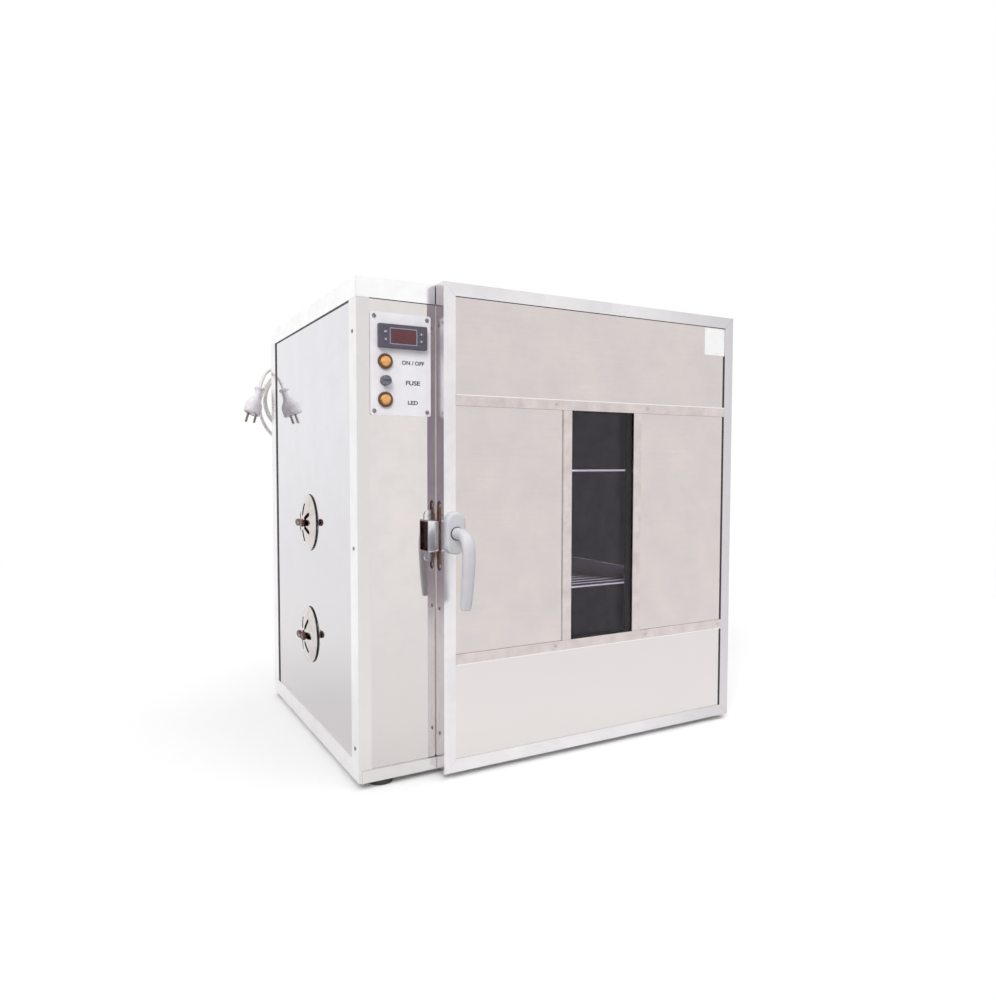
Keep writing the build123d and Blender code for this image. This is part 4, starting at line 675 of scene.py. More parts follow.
def oval(middle: Vector, across: Vector, over: Vector, sides: int, power: float = 2.0) -> list[Vector]:
    """Points round an oval.

    Args:
        middle: its middle, in millimetres.
        across: from the middle to its side.
        over: from the middle to its top.
        sides: how many points.
        power: 2 for an ellipse, more for a squarer oval.

    Returns:
        The points in order, in metres.
    """
    ring = []
    for cosine, sine in compass(sides):
        out = math.copysign(abs(cosine) ** (2 / power), cosine)
        rise = math.copysign(abs(sine) ** (2 / power), sine)
        ring.append((middle + across * out + over * rise) * MM)
    return ring


def turned(
    shape: bmesh.types.BMesh,
    profile: Sequence[Pair],
    placing: Matrix,
    segments: int = 40,
    hoop: bool = False,
) -> None:
    """Turn a profile round an axis, as on a lathe.

    Args:
        shape: the shape that gets the faces.
        profile: radius and height pairs in millimetres, from one end to the other.
        placing: takes the axis (+Z) to where it belongs, in metres.
        segments: how many steps round.
        hoop: joins the profile's last point to its first.
    """
    rings = []
    for radius, height in profile:
        around = compass(segments if radius > 0 else 1)
        points = [Vector((radius * cosine, radius * sine, height)) for cosine, sine in around]
        rings.append([placing @ (point * MM) for point in points])
    loft(shape, rings, hoop)


def slab(shape: bmesh.types.BMesh, outline: Sequence[Pair], face_y: float, rise: float) -> None:
    """Raise a flat outline off a front face.

    Args:
        shape: the shape that gets the faces.
        outline: x and z pairs in millimetres, in order.
        face_y: the face's place along y, in millimetres.
        rise: how far the slab stands out to the front, in millimetres.
    """
    back = metres([(x, face_y, z) for x, z in outline])
    front = metres([(x, face_y - rise, z) for x, z in outline])
    loft(shape, [back, front])


def rounded(centre: Pair, width: float, height: float, radius: float) -> list[Pair]:
    """The outline of a rectangle with round corners.

    Args:
        centre: x and z of its middle.
        width: its width.
        height: its height.
        radius: its corner radius.

    Returns:
        Points in order.
    """
    points = []
    for quarter, (sx, sz) in enumerate(((1, 1), (-1, 1), (-1, -1), (1, -1))):
        for step in range(CORNER_POINTS):
            angle = math.radians(90 * (quarter + step / (CORNER_POINTS - 1)))
            x = centre[0] + sx * (width / 2 - radius) + radius * math.cos(angle)
            z = centre[1] + sz * (height / 2 - radius) + radius * math.sin(angle)
            points.append((x, z))
    return points


class Grower:
    """Runs a geometry node tree on a host mesh and keeps the plain result."""

    def __init__(self, name: str, inputs: Mapping[str, str]) -> None:
        """Start a tree.

        Args:
            name: the tree's name.
            inputs: socket types by the input's name.
        """
        self.tree = bpy.data.node_groups.new(name, "GeometryNodeTree")
        face = self.tree.interface
        face.new_socket("Geometry", in_out="INPUT", socket_type="NodeSocketGeometry")
        for label, kind in {**inputs, "Material": "NodeSocketMaterial"}.items():
            face.new_socket(label, in_out="INPUT", socket_type=kind)
        face.new_socket("Geometry", in_out="OUTPUT", socket_type="NodeSocketGeometry")
        self.start = add_node(self.tree, "NodeGroupInput")

    def add(
        self,
        kind: str,
        settings: Mapping[Any, Any] | None = None,
        links: Mapping[Any, Any] | None = None,
        output: int = 0,
    ) -> Socket:
        """Add a node to the tree and hand on one of its outputs."""
        return add_node(self.tree, kind, settings, links).outputs[output]

    def number(self, operation: str, *values: Socket | float) -> Socket:
        """Work out a number from sockets and plain numbers."""
        return number(self.tree, operation, *values)

    def vector(self, **parts: Socket) -> Socket:
        """Put a vector together from its parts X, Y and Z."""
        return self.add("ShaderNodeCombineXYZ", {}, parts)

    def given(self, label: str) -> Socket:
        """The socket that brings a named input."""
        return self.start.outputs[label]

    def carried(self, name: str) -> Socket:
        """A vector that the host's points carry."""
        settings = {"data_type": "FLOAT_VECTOR", "Name": name}
        return self.add("GeometryNodeInputNamedAttribute", settings)

    def spread(self, points: Socket, instance: Socket, links: Mapping[str, Socket] | None = None) -> Socket:
        """Set a shape on points.

        Args:
            points: where to set it.
            instance: the shape.
            links: its turn or scale on each point.

        Returns:
            The instances.
        """
        links = {"Points": points, "Instance": instance, **(links or {})}
        return self.add("GeometryNodeInstanceOnPoints", {}, links)

    def close(self, result: Socket) -> None:
        """End the tree: realise the instances and set the material.

        Args:
            result: the geometry to hand on.
        """
        real = self.add("GeometryNodeRealizeInstances", {}, {"Geometry": result})
        links = {"Geometry": real, "Material": self.given("Material")}
        dressed = self.add("GeometryNodeSetMaterial", {}, links)
        add_node(self.tree, "NodeGroupOutput", {}, {"Geometry": dressed})

    def grow(self, host: Mesh, values: Mapping[str, Any], finish: Finish) -> Mesh:
        """Evaluate the tree once.

        Args:
            host: the mesh that it starts from.
            values: the inputs by name.
            finish: what the result is made of.

        Returns:
            The result as a plain mesh.
        """
        holder = linked("grower_host", host)
        modifier = holder.modifiers.new("grow", "NODES")
        modifier.node_group = self.tree
        named = {**values, "Material": finish.material()}
        for item in self.tree.interface.items_tree:
            if item.in_out == "INPUT" and item.name in named:
                modifier[item.identifier] = named[item.name]
        evaluated = holder.evaluated_get(bpy.context.evaluated_depsgraph_get())
        mesh = bpy.data.meshes.new_from_object(evaluated)
        holder.modifiers.clear()
        bpy.data.objects.remove(holder)
        bpy.data.meshes.remove(host)
        return mesh


def host_points(rows: Sequence[tuple[Spot, Vector]]) -> Mesh:
    """A mesh of loose points that each know which way is out.

    Args:
        rows: places in millimetres with their outward directions.

    Returns:
        The mesh.
    """
    mesh = bpy.data.meshes.new("points")
    mesh.from_pydata(metres([spot for spot, _ in rows]), [], [])
    outward = mesh.attributes.new("outward", "FLOAT_VECTOR", "POINT")
    for n, (_, direction) in enumerate(rows):
        outward.data[n].vector = direction
    return mesh


class HeadKind(Enum):
    """What a fastener's head looks like."""

    RIVET = "domed rivet"
    CROSS = "pan head with a cross recess"


@dataclass
class FastenerHeads:
    """Rivet and screw heads, grown on points."""

    kind: HeadKind
    radius: float = 3.2
    height: float = 1.3
    cross_width: float = 0.75
    cross_length: float = 3.6
    cross_depth: float = 0.9
    pan_fullness: float = 1.45
    facets: tuple[int, int] = (24, 16)
    seed: int = 7
    grower: Grower = field(init=False)

    def __post_init__(self) -> None:
        """Build the tree: a flattened ball, cut for screws, set on each point and turned outward."""
        sizes = ("Head Radius", "Head Height", "Cross Width", "Cross Length", "Cross Depth")
        sockets = {label: "NodeSocketFloat" for label in sizes}
        grower = Grower(self.kind.value, {**sockets, "Seed": "NodeSocketInt"})
        self.grower = grower
        fullness = 1.0 if self.kind is HeadKind.RIVET else self.pan_fullness
        high = grower.given("Head Height")
        tall = grower.number("MULTIPLY", high, fullness)
        settings = {"Segments": self.facets[0], "Rings": self.facets[1], "Radius": 1.0}
        ball = grower.add("GeometryNodeMeshUVSphere", settings)
        radius = grower.given("Head Radius")
        scale = grower.vector(X=radius, Y=radius, Z=tall)
        dome = grower.add("GeometryNodeTransform", {}, {"Geometry": ball, "Scale": scale})
        place = grower.add("GeometryNodeInputPosition")
        x, y, z = add_node(grower.tree, "ShaderNodeSeparateXYZ", {}, {0: place}).outputs
        level = grower.add("ShaderNodeClamp", {"Min": 0.0}, {"Value": z, "Max": high})
        flat = grower.vector(X=x, Y=y, Z=level)
        shaped = grower.add("GeometryNodeSetPosition", {}, {"Geometry": dome, "Position": flat})
        if self.kind is HeadKind.CROSS:
            shaped = self.recessed(shaped)
        is_rivet = self.kind is HeadKind.RIVET
        smooth = grower.add("GeometryNodeSetShadeSmooth", {"Shade Smooth": is_rivet}, {0: shaped})
        aim = grower.add(
            "FunctionNodeAlignRotationToVector", {"axis": "Z"}, {"Vector": grower.carried("outward")}
        )
        # Inputs 2 and 3 of this node are the limits of a number, input 8 is the seed, output 1 the number
        angles = {"data_type": "FLOAT", 2: 0.0, 3: math.pi}
        turn = grower.add("FunctionNodeRandomValue", angles, {8: grower.given("Seed")}, output=1)
        spin = grower.add("FunctionNodeAxisAngleToRotation", {"Axis": UP}, {"Angle": turn})
        both = grower.add(
            "FunctionNodeRotateRotation", {"rotation_space": "LOCAL"}, {"Rotation": aim, "Rotate By": spin}
        )
        grower.close(grower.spread(grower.given("Geometry"), smooth, {"Rotation": both}))

    def recessed(self, head: Socket) -> Socket:
        """Cut the cross into a head.

        Args:
            head: the plain head.

        Returns:
            The head with its recess.
        """
        grower = self.grower
        wide, long = grower.given("Cross Width"), grower.given("Cross Length")
        # The bars are centred on the head's top, so only half of their depth cuts
        deep = grower.number("MULTIPLY", grower.given("Cross Depth"), 2.0)
        lift = grower.vector(Z=grower.given("Head Height"))
        bars = []
        for across, along in ((wide, long), (long, wide)):
            size = grower.vector(X=across, Y=along, Z=deep)
            bar = grower.add("GeometryNodeMeshCube", {}, {"Size": size})
            links = {"Geometry": bar, "Translation": lift}
            bars.append(grower.add("GeometryNodeTransform", {}, links))
        settings = {"operation": "DIFFERENCE", "solver": "EXACT"}
        return grower.add("GeometryNodeMeshBoolean", settings, {"Mesh 1": head, "Mesh 2": bars})

    def on(self, rows: Sequence[tuple[Spot, Vector]], finish: Finish) -> Mesh:
        """Set heads on places.

        Args:
            rows: places in millimetres with their outward directions.
            finish: what the heads are made of.

        Returns:
            One mesh with all the heads.
        """
        values = {
            "Head Radius": self.radius * MM,
            "Head Height": self.height * MM,
            "Cross Width": self.cross_width * MM,
            "Cross Length": self.cross_length * MM,
            "Cross Depth": self.cross_depth * MM,
            "Seed": self.seed,
        }
        return self.grower.grow(host_points(rows), values, finish)


@dataclass
class Fixings:
    """All rivets and screws of the case and the door."""

    side_x: Pair = (-356.9, 367.1)
    side_y: float = -243.4
    rear_x: Pair = (-345.9, 356.1)
    rear_y: float = 278.6
    trim_z: tuple[float, ...] = (58.5, 361.0, 682.0)
    plate_y: float = -261.9
    plate_x: Pair = (-329.9, -245.4)
    plate_z: Pair = (565.5, 704.5)
    keeper_x: float = -241.65
    keeper_z: Pair = (345.5, 408.5)
    hinge_x: float = 369.1
    hinge_y: Pair = (-245.28, -277.52)
    hinge_z: tuple[float, ...] = (124.0, 166.0, 604.0, 646.0)
    hook_y: float = 280.1
    hook_x: float = -299.9
    hook_z: Pair = (661.0, 691.0)
    band_y: float = -290.6
    band_spots: tuple[Pair, ...] = (
        (-26.9, 185.5), (163.1, 185.5), (-26.9, 584.5), (163.1, 584.5), (340.1, 185.5),
    )
    edge_x: float = -230.9
    edge_y: float = -273.8
    edge_z: tuple[float, ...] = (70.0, 265.0, 697.0)
    lock_x: float = -229.4
    lock_z: Pair = (330.2, 423.8)

    def build(self) -> None:
        """Make one mesh of rivets and one or more of screws for each body."""
        rivets = FastenerHeads(HeadKind.RIVET)
        screws = FastenerHeads(HeadKind.CROSS, height=1.8, seed=11)
        low_screws = FastenerHeads(HeadKind.CROSS, height=1.2, cross_depth=0.6, seed=5)

        trims = [
            ((x, self.side_y, z), way) for x, way in zip(self.side_x, (LEFT, RIGHT)) for z in self.trim_z
        ]
        trims += [((x, self.rear_y, z), REAR) for x in self.rear_x for z in self.trim_z]
        plate = [((x, self.plate_y, z), FRONT) for x in self.plate_x for z in self.plate_z]
        case = [((self.keeper_x, self.plate_y, z), FRONT) for z in self.keeper_z]
        case += [((self.hinge_x, self.hinge_y[0], z), RIGHT) for z in self.hinge_z]
        case += [((self.hook_x, self.hook_y, z), REAR) for z in self.hook_z]
        bands = [((x, self.band_y, z), FRONT) for x, z in self.band_spots]
        edge = [((self.edge_x, self.edge_y, z), LEFT) for z in self.edge_z]
        hinges = [((self.hinge_x, self.hinge_y[1], z), RIGHT) for z in self.hinge_z]
        lock = [((self.lock_x, self.edge_y, z), LEFT) for z in self.lock_z]
        groups = (
            ("case_rivets", rivets, trims, RIVET_STEEL, "cabinet", "case_fasteners"),
            ("plate_screws", screws, plate, DARK_STEEL, "cabinet", "case_fasteners"),
            ("case_screws", screws, case, ZINC_STEEL, "cabinet", "case_fasteners"),
            ("band_rivets", rivets, bands, RIVET_ALUMINIUM, "door", "door_fasteners"),
            ("edge_rivets", rivets, edge, RIVET_STEEL, "door", "door_fasteners"),
            ("door_hinge_screws", screws, hinges, ZINC_STEEL, "door", "door_fasteners"),
            ("lock_screws", low_screws, lock, ZINC_STEEL, "door", "door_fasteners"),
        )
        for name, heads, rows, finish, body, node in groups:
            piece = make_piece(name, heads.on(rows, finish), finish, body)
            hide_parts(node)


@dataclass
class MainsCord:
    """The mains cord: a lead from the gland, a coil on the hook, a tail, and the plug."""

    radius: float = 3.25
    length: float = 1611.5
    exit: Spot = (-233.9, 290.6, 512.0)
    hook_x: float = -299.9
    coil_top: float = 683.65
    coil_rear: float = 298.6
    coil_pitch: float = 10.0
    coil_radii: tuple[float, ...] = (66.0, 62.0, 65.0, 79.0)
    last_radius: float = 79.0
    last_lift: float = 6.0
    turns: float = 3.25
    points_per_turn: int = 20
    straight: float = 6.5
    lead_run: float = 30.0
    tail_run: float = 22.0
    tail_route: tuple[Spot, ...] = (
        (-345.0, 322.0, 687.0), (-362.0, 303.0, 679.0), (-373.4, 285.9, 662.6), (-379.4, 283.3, 643.7),
    )
    plug_length: float = 58.0
    # Distance along the axis, half thickness, half width, and shift away from the case
    plug_stations: tuple[tuple[float, float, float, float], ...] = (
        (-0.6, 4.2, 4.2, 0.0), (0.0, 7.4, 7.4, 0.0), (0.5, 8.9, 8.9, 0.0), (1.6, 9.8, 9.8, 0.0),
        (4.4, 9.8, 9.8, 0.0), (5.6, 9.1, 9.1, 0.0), (6.6, 7.8, 7.8, 0.0), (8.4, 7.1, 7.1, 0.0),
        (13.0, 7.0, 7.2, 0.0), (19.0, 7.2, 7.8, 0.2), (23.0, 7.9, 9.2, 0.5), (26.5, 9.2, 11.8, 0.9),
        (30.0, 11.0, 15.0, 1.2), (33.5, 12.7, 17.9, 1.4), (37.0, 13.9, 19.4, 1.0), (41.0, 14.4, 20.1, 1.0),
        (48.0, 14.7, 20.5, 1.0), (55.5, 14.7, 20.5, 1.0), (57.2, 14.2, 20.0, 1.0), (58.0, 13.0, 18.8, 1.0),
        (58.0, 11.4, 17.0, 1.0), (57.2, 10.9, 16.4, 1.0),
    )
    pin_radius: float = 2.4
    pin_length: float = 19.0
    pin_spread: float = 9.5
    pin_axis: Spot = (0.73, -0.68, 0.0)
    # Swell past the pin's radius, and height
    pin_shoulder: tuple[Pair, ...] = ((0.5, -2.0), (0.5, 0.6), (0.0, 1.0))
    # Share of the pin's radius, and distance from its end
    pin_tip: tuple[Pair, ...] = ((1.0, 1.6), (0.85, 0.6), (0.5, 0.1), (0.0, 0.0))
    pin_sides: int = 24
    plug_sides: int = 56
    cord_steps: int = 6
    edge_angle: float = 35.0

    @staticmethod
    def ease(start: float, end: float, share: float) -> float:
        """Go smoothly from one value to another."""
        return start + (end - start) * (1 - math.cos(math.pi * share)) / 2

    def coil_point(self, turn: float, stretch: float = 1.0) -> Vector:
        """A point of the coil.

        Args:
            turn: how many turns along.
            stretch: how much further out the point lies than the coil's line.

        Returns:
            The point, in millimetres.
        """
        whole = min(int(turn), len(self.coil_radii) - 1)
        last = whole == len(self.coil_radii) - 1
        share = (turn - whole) / (self.turns - whole if last else 1)
        end = self.last_radius if last else self.coil_radii[whole + 1]
        radius = self.ease(self.coil_radii[whole], end, share)
        lift = self.ease(0, self.last_lift, share) if last else 0.0
        angle = 2 * math.pi * turn
        return Vector((
            self.hook_x + stretch * radius * math.cos(angle),
            self.coil_rear + self.coil_pitch * turn,
            self.coil_top + lift - radius + stretch * radius * math.sin(angle),
        ))

    def route(self) -> list[Vector]:
        """Set out the whole cord.

        Returns:
            Its control points, in millimetres.
        """
        step = 1e-4
        start, end = self.coil_point(0), self.coil_point(self.turns)
        start_way = (self.coil_point(step) - start).normalized()
        end_way = (end - self.coil_point(self.turns - step)).normalized()
        lead_end = start - start_way * self.straight
        leave = Vector(self.exit)
        points = [leave, leave + UP * self.lead_run, lead_end - start_way * self.lead_run, lead_end]
        # A spline of order 3 runs inside its control points by this share of the radius
        stretch = 1 / (0.75 + 0.25 * math.cos(2 * math.pi / self.points_per_turn))
        count = round(self.turns * self.points_per_turn)
        points += [self.coil_point(n / self.points_per_turn, stretch) for n in range(count + 1)]
        tail_start = end + end_way * self.straight
        points += [tail_start, tail_start + end_way * self.tail_run]
        points += [Vector(p) for p in self.tail_route]
        return points

    def build(self) -> None:
        """Lay the cord and put the plug on its end."""
        points = self.route()
        line = bpy.data.curves.new("mains_cord", "CURVE")
        line.dimensions = "3D"
        line.bevel_depth = self.radius * MM
        line.bevel_resolution = self.cord_steps
        line.use_fill_caps = True
        line.resolution_u = self.cord_steps
        spline = line.splines.new("NURBS")
        spline.points.add(len(points) - 1)
        for knot, point in zip(spline.points, points):
            knot.co = (*(point * MM), 1.0)
        spline.order_u = 3
        spline.use_endpoint_u = True
        cord = linked("mains_cord", line)
        line.materials.append(CORD_PVC.material())
        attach(cord, "cabinet")
        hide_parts("cord_lead", "cord_coil", "cord_tail")
        log.info("mains_cord: %d control points", len(points))
        way = (points[-1] - points[-2]).normalized()
        plug = self.plug(points[-1], way)
        pins = self.pins(points[-1], way)

    def pin_side(self, way: Vector) -> Vector:
        """Square the pins' direction to the plug's axis.

        Args:
            way: the plug's axis.

        Returns:
            The direction from one pin to the other.
        """
        side = Vector(self.pin_axis)
        return (side - way * side.dot(way)).normalized()

    def plug(self, start: Vector, way: Vector) -> bpy.types.Object:
        """Loft the plug's body: collar, waist, and a head that flares away from the case.

        Args:
            start: where the cord enters, in millimetres.
            way: the direction of its axis.

        Returns:
            The plug's body.
        """
        outer = (LEFT - way * LEFT.dot(way)).normalized()
        thin = self.pin_side(way)
        wide = way.cross(thin)
        rings = []
        for along, thin_half, wide_half, shift in self.plug_stations:
            middle = start + way * along + outer * shift
            rings.append(oval(middle, thin * thin_half, wide * wide_half, self.plug_sides))
        shape = bmesh.new()
        loft(shape, rings)
        mesh = mesh_of(shape, self.edge_angle)
        piece = make_piece("mains_plug", mesh, PLUG_PVC, "cabinet")
        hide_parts("power_plug")
        return piece

    def pins(self, start: Vector, way: Vector) -> bpy.types.Object:
        """Turn the plug's two round pins with their sleeves' shoulders.

        Args:
            start: where the cord enters, in millimetres.
            way: the direction of the plug's axis.

        Returns:
            The pins.
        """
        side = self.pin_side(way)
        r, end = self.pin_radius, self.pin_length
        profile = [(0.0, self.pin_shoulder[0][1])]
        profile += [(r + swell, height) for swell, height in self.pin_shoulder]
        profile += [(r * share, end - short) for share, short in self.pin_tip]
        shape = bmesh.new()
        for sign in (-1, 1):
            foot = start + way * self.plug_length + side * sign * self.pin_spread
            turned(shape, profile, aimed(foot * MM, way), self.pin_sides)
        mesh = mesh_of(shape, self.edge_angle)
        piece = make_piece("plug_pins", mesh, PIN_NICKEL, "cabinet")
        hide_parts("power_plug")
        return piece


@dataclass
class Vents:
    """The two vents' felt pads, black as painted shade, their threaded studs and wing nuts."""

    panel_x: float = -355.4
    y: float = 4.6
    heights: tuple[tuple[str, float], ...] = (("upper", 383.5), ("lower", 183.5))
    pad_radius: float = 49.2
    pad_hole: float = 5.2
    pad_rise: float = 0.9
    slots: int = 6
    slot_turn: float = 30.0
    slot_circle: float = 23.0
    slot_length: float = 22.0
    slot_width: float = 7.5
    stud_radius: float = 2.5
    stud_foot: float = -1.0
    stud_tip: float = 20.0
    thread_pitch: float = 0.8
    thread_depth: float = 0.45
    thread_end: float = 1.2
    tip_taper: float = 0.7
    collar_radius: float = 4.5
    collar_end: float = 11.2
    nut_seat: float = 13.0
    # Radius and height
    hub: tuple[Pair, ...] = (
        (2.6, 0.0), (4.7, 0.0), (5.0, 0.4), (5.0, 5.9), (4.6, 6.5), (3.9, 6.8), (2.6, 6.8),
    )
    wing_spread: float = 12.8
    wing_half: Pair = (11.0, 6.3)
    # Distance out from the seat, and share of the wing's full outline
    wing_stations: tuple[Pair, ...] = (
        (0.8, 0.8), (1.1, 0.92), (1.8, 1.0), (4.6, 1.0), (5.5, 0.95), (6.1, 0.84), (6.35, 0.7),
        (6.1, 0.5), (5.8, 0.3),
    )
    wing_sides: int = 36
    collar_sides: int = 28
    stud_sides: int = 20
    hub_sides: int = 32
    pad_sides: int = 72
    hole_sides: int = 24
    slot_end_points: int = 9
    thread_angle: float = 25.0
    nut_angle: float = 50.0

    def build(self) -> None:
        """Make the pads, the studs and both nuts."""
        studs = bmesh.new()
        pads = bmesh.new()
        for name, z in self.heights:
            placing = aimed(Vector((self.panel_x, self.y, z)) * MM, LEFT)
            r, end = self.collar_radius, self.collar_end
            turned(studs, [(0, 0), (r, 0), (r, end), (0, end)], placing, self.collar_sides)
            turned(studs, self.thread(), placing, self.stud_sides)
            pad = self.pad()
            pad.transform(placing)
            pads.from_mesh(pad)
            bpy.data.meshes.remove(pad)
            self.nut(name, z)
        make_piece("vent_pads", mesh_of(pads, None), SHADE_FELT, "cabinet")
        mesh = mesh_of(studs, self.thread_angle)
        piece = make_piece("vent_studs", mesh, ZINC_STEEL, "cabinet")
        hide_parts("case_fasteners")

    def pad(self) -> Mesh:
        """Cut one felt pad, flat at the origin, with its stud hole and slots.

        Returns:
            The pad, in metres.
        """
        sheet = bpy.data.curves.new("felt_pad", "CURVE")
        sheet.dimensions = "2D"
        sheet.fill_mode = "BOTH"
        sheet.extrude = self.pad_rise / 2 * MM
        outlines = [self.arc((0, 0), self.pad_radius, 0, 360, self.pad_sides)]
        outlines.append(self.arc((0, 0), self.pad_hole, 0, 360, self.hole_sides))
        reach = (self.slot_length - self.slot_width) / 2
        for n in range(self.slots):
            turn = self.slot_turn + 360 / self.slots * n
            way = Vector((math.cos(math.radians(turn)), math.sin(math.radians(turn))))
            far, near = way * (self.slot_circle + reach), way * (self.slot_circle - reach)
            r, count = self.slot_width / 2, self.slot_end_points
            outer = self.arc(far, r, turn - 90, turn + 90, count)
            outlines.append(outer + self.arc(near, r, turn + 90, turn + 270, count))
        for outline in outlines:
            spline = sheet.splines.new("POLY")
            spline.points.add(len(outline) - 1)
            for knot, (x, y) in zip(spline.points, outline):
                knot.co = (x * MM, y * MM, self.pad_rise / 2 * MM, 1.0)
            spline.use_cyclic_u = True
        return plain_mesh(sheet)

    @staticmethod
    def arc(centre: Sequence[float], radius: float, start: float, end: float, steps: int) -> list[Pair]:
        """Points along an arc.

        Args:
            centre: its middle.
            radius: its radius.
            start: its first angle in degrees.
            end: its last angle in degrees; a full turn leaves out its last point.
            steps: how many points.

        Returns:
            The points in order.
        """
        gaps = steps if end - start >= 360 else steps - 1
        angles = [math.radians(start + (end - start) * n / gaps) for n in range(steps)]
        return [(centre[0] + radius * math.cos(a), centre[1] + radius * math.sin(a)) for a in angles]

    def thread(self) -> list[Pair]:
        """Draw the stud with a groove at each thread.

        Returns:
            Its profile as radius and height pairs.
        """
        profile = [(0.0, self.stud_foot), (self.stud_radius, self.stud_foot)]
        height = self.collar_end - self.thread_pitch
        while height < self.stud_tip - self.thread_end:
            profile.append((self.stud_radius, height))
            profile.append((self.stud_radius - self.thread_depth, height + self.thread_pitch / 2))
            height += self.thread_pitch
        profile += [(self.stud_radius, height), (self.stud_radius - self.tip_taper, self.stud_tip)]
        return profile + [(0.0, self.stud_tip)]

    def nut(self, name: str, z: float) -> None:
        """Make one wing nut: a hub with a bore, and two dished round wings.

        Args:
            name: which vent it is on.
            z: the vent's height.
        """
        seat = Vector((self.panel_x - self.nut_seat, self.y, z))
        shape = bmesh.new()
        turned(shape, self.hub, aimed(seat * MM, LEFT), self.hub_sides, hoop=True)
        for sign in (-1, 1):
            rings = []
            for out, share in self.wing_stations:
                middle = seat + REAR * sign * self.wing_spread + LEFT * out
                along, over = REAR * self.wing_half[0] * share, UP * self.wing_half[1] * share
                rings.append(oval(middle, along, over, self.wing_sides))
            loft(shape, rings)
        mesh = mesh_of(shape, self.nut_angle)
        piece = make_piece(f"{name}_nut_casting", mesh, NUT_BRONZE, f"{name}_nut")
        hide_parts(f"{name}_wing_nut")


@dataclass
class DoorHandle:
    """The lever: a round neck, an elbow and a flattened grip that tapers as it hangs."""

    spindle_x: float = -213.9
    spindle_z: float = 382.0
    door_y: float = -290.6
    # Radius and height
    washer_section: tuple[Pair, ...] = (
        (0.0, 10.05), (10.4, 10.05), (10.5, 10.3), (10.4, 10.65), (0.0, 10.65),
    )
    ring_points: int = 20
    squareness: float = 2.5
    square_from: float = 80.0
    smooth_levels: int = 2
    edge_angle: float = 180.0
    # Distance out from the door, rise, bend in degrees, half width and half thickness
    stations: tuple[tuple[float, float, float, float, float], ...] = (
        (10.4, 0.0, 0.0, 9.0, 9.0),
        (10.9, 0.0, 0.0, 9.5, 9.5),
        (13.5, 0.0, 0.0, 9.4, 9.4),
        (20.0, 0.0, 0.0, 8.8, 8.8),
        (27.0, -0.2, 4.0, 8.9, 8.8),
        (34.5, -1.4, 18.0, 9.4, 8.7),
        (41.0, -4.6, 38.0, 10.0, 8.3),
        (46.2, -10.0, 58.0, 10.4, 7.8),
        (49.2, -17.5, 75.0, 10.5, 7.3),
        (50.3, -28.0, 88.0, 10.4, 7.0),
        (49.3, -48.0, 95.0, 10.2, 6.8),
        (46.7, -70.0, 98.0, 9.9, 6.5),
        (43.2, -92.0, 100.0, 9.4, 6.1),
        (40.6, -106.0, 101.0, 9.0, 5.8),
        (39.8, -110.4, 101.0, 8.5, 5.3),
        (39.5, -112.0, 101.0, 6.6, 3.8),
    )

    def build(self) -> None:
        """Loft the lever through its stations and smooth it."""
        base = Vector((self.spindle_x, self.door_y, self.spindle_z))
        rings = []
        for out, rise, bend, half_wide, half_thick in self.stations:
            turn = math.radians(bend)
            middle = base + FRONT * out + UP * rise
            normal = UP * math.cos(turn) + FRONT * math.sin(turn)
            power = 2 + (self.squareness - 2) * min(bend / self.square_from, 1)
            rings.append(oval(middle, RIGHT * half_wide, normal * half_thick, self.ring_points, power))
        shape = bmesh.new()
        loft(shape, rings)
        mesh = mesh_of(shape, self.edge_angle)
        piece = make_piece("lever", mesh, HANDLE_LACQUER, "handle")
        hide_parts("handle_lever")
        smooth = piece.modifiers.new("smooth", "SUBSURF")
        smooth.levels = smooth.render_levels = self.smooth_levels
        self.washer(base)

    def washer(self, base: Vector) -> None:
        """Turn the dark washer between the rosette and the lever.

        Args:
            base: the spindle's place on the door's face.
        """
        shape = bmesh.new()
        turned(shape, self.washer_section, aimed(base * MM, FRONT))
        make_piece("lever_washer", mesh_of(shape), BLACK_NYLON, "handle")


@dataclass
class LockEdge:
    """A dark ring round the lock's face in the door's edge, painted shadow for the gap there."""

    x: Pair = (-230.5, -229.45)
    y: float = -273.8
    z: float = 377.0
    length: float = 107.4
    width: float = 14.8
    band: float = 1.5
    ring_points: int = 32

    def build(self) -> None:
        """Line the slot's edge."""
        rings = []
        for x, inset in zip((self.x[1], self.x[0], self.x[0], self.x[1]), (0, 0, self.band, self.band)):
            radius, half = self.width / 2 - inset, (self.length - self.width) / 2
            ring = []
            for n in range(self.ring_points):
                angle = 2 * math.pi * (n + 0.5) / self.ring_points
                rise = half if angle < math.pi else -half
                y, z = self.y + radius * math.cos(angle), self.z + rise + radius * math.sin(angle)
                ring.append(Vector((x, y, z)) * MM)
            rings.append(ring)
        shape = bmesh.new()
        loft(shape, rings, hoop=True)
        make_piece("lock_gap", mesh_of(shape), GAP_SHADOW, "door")


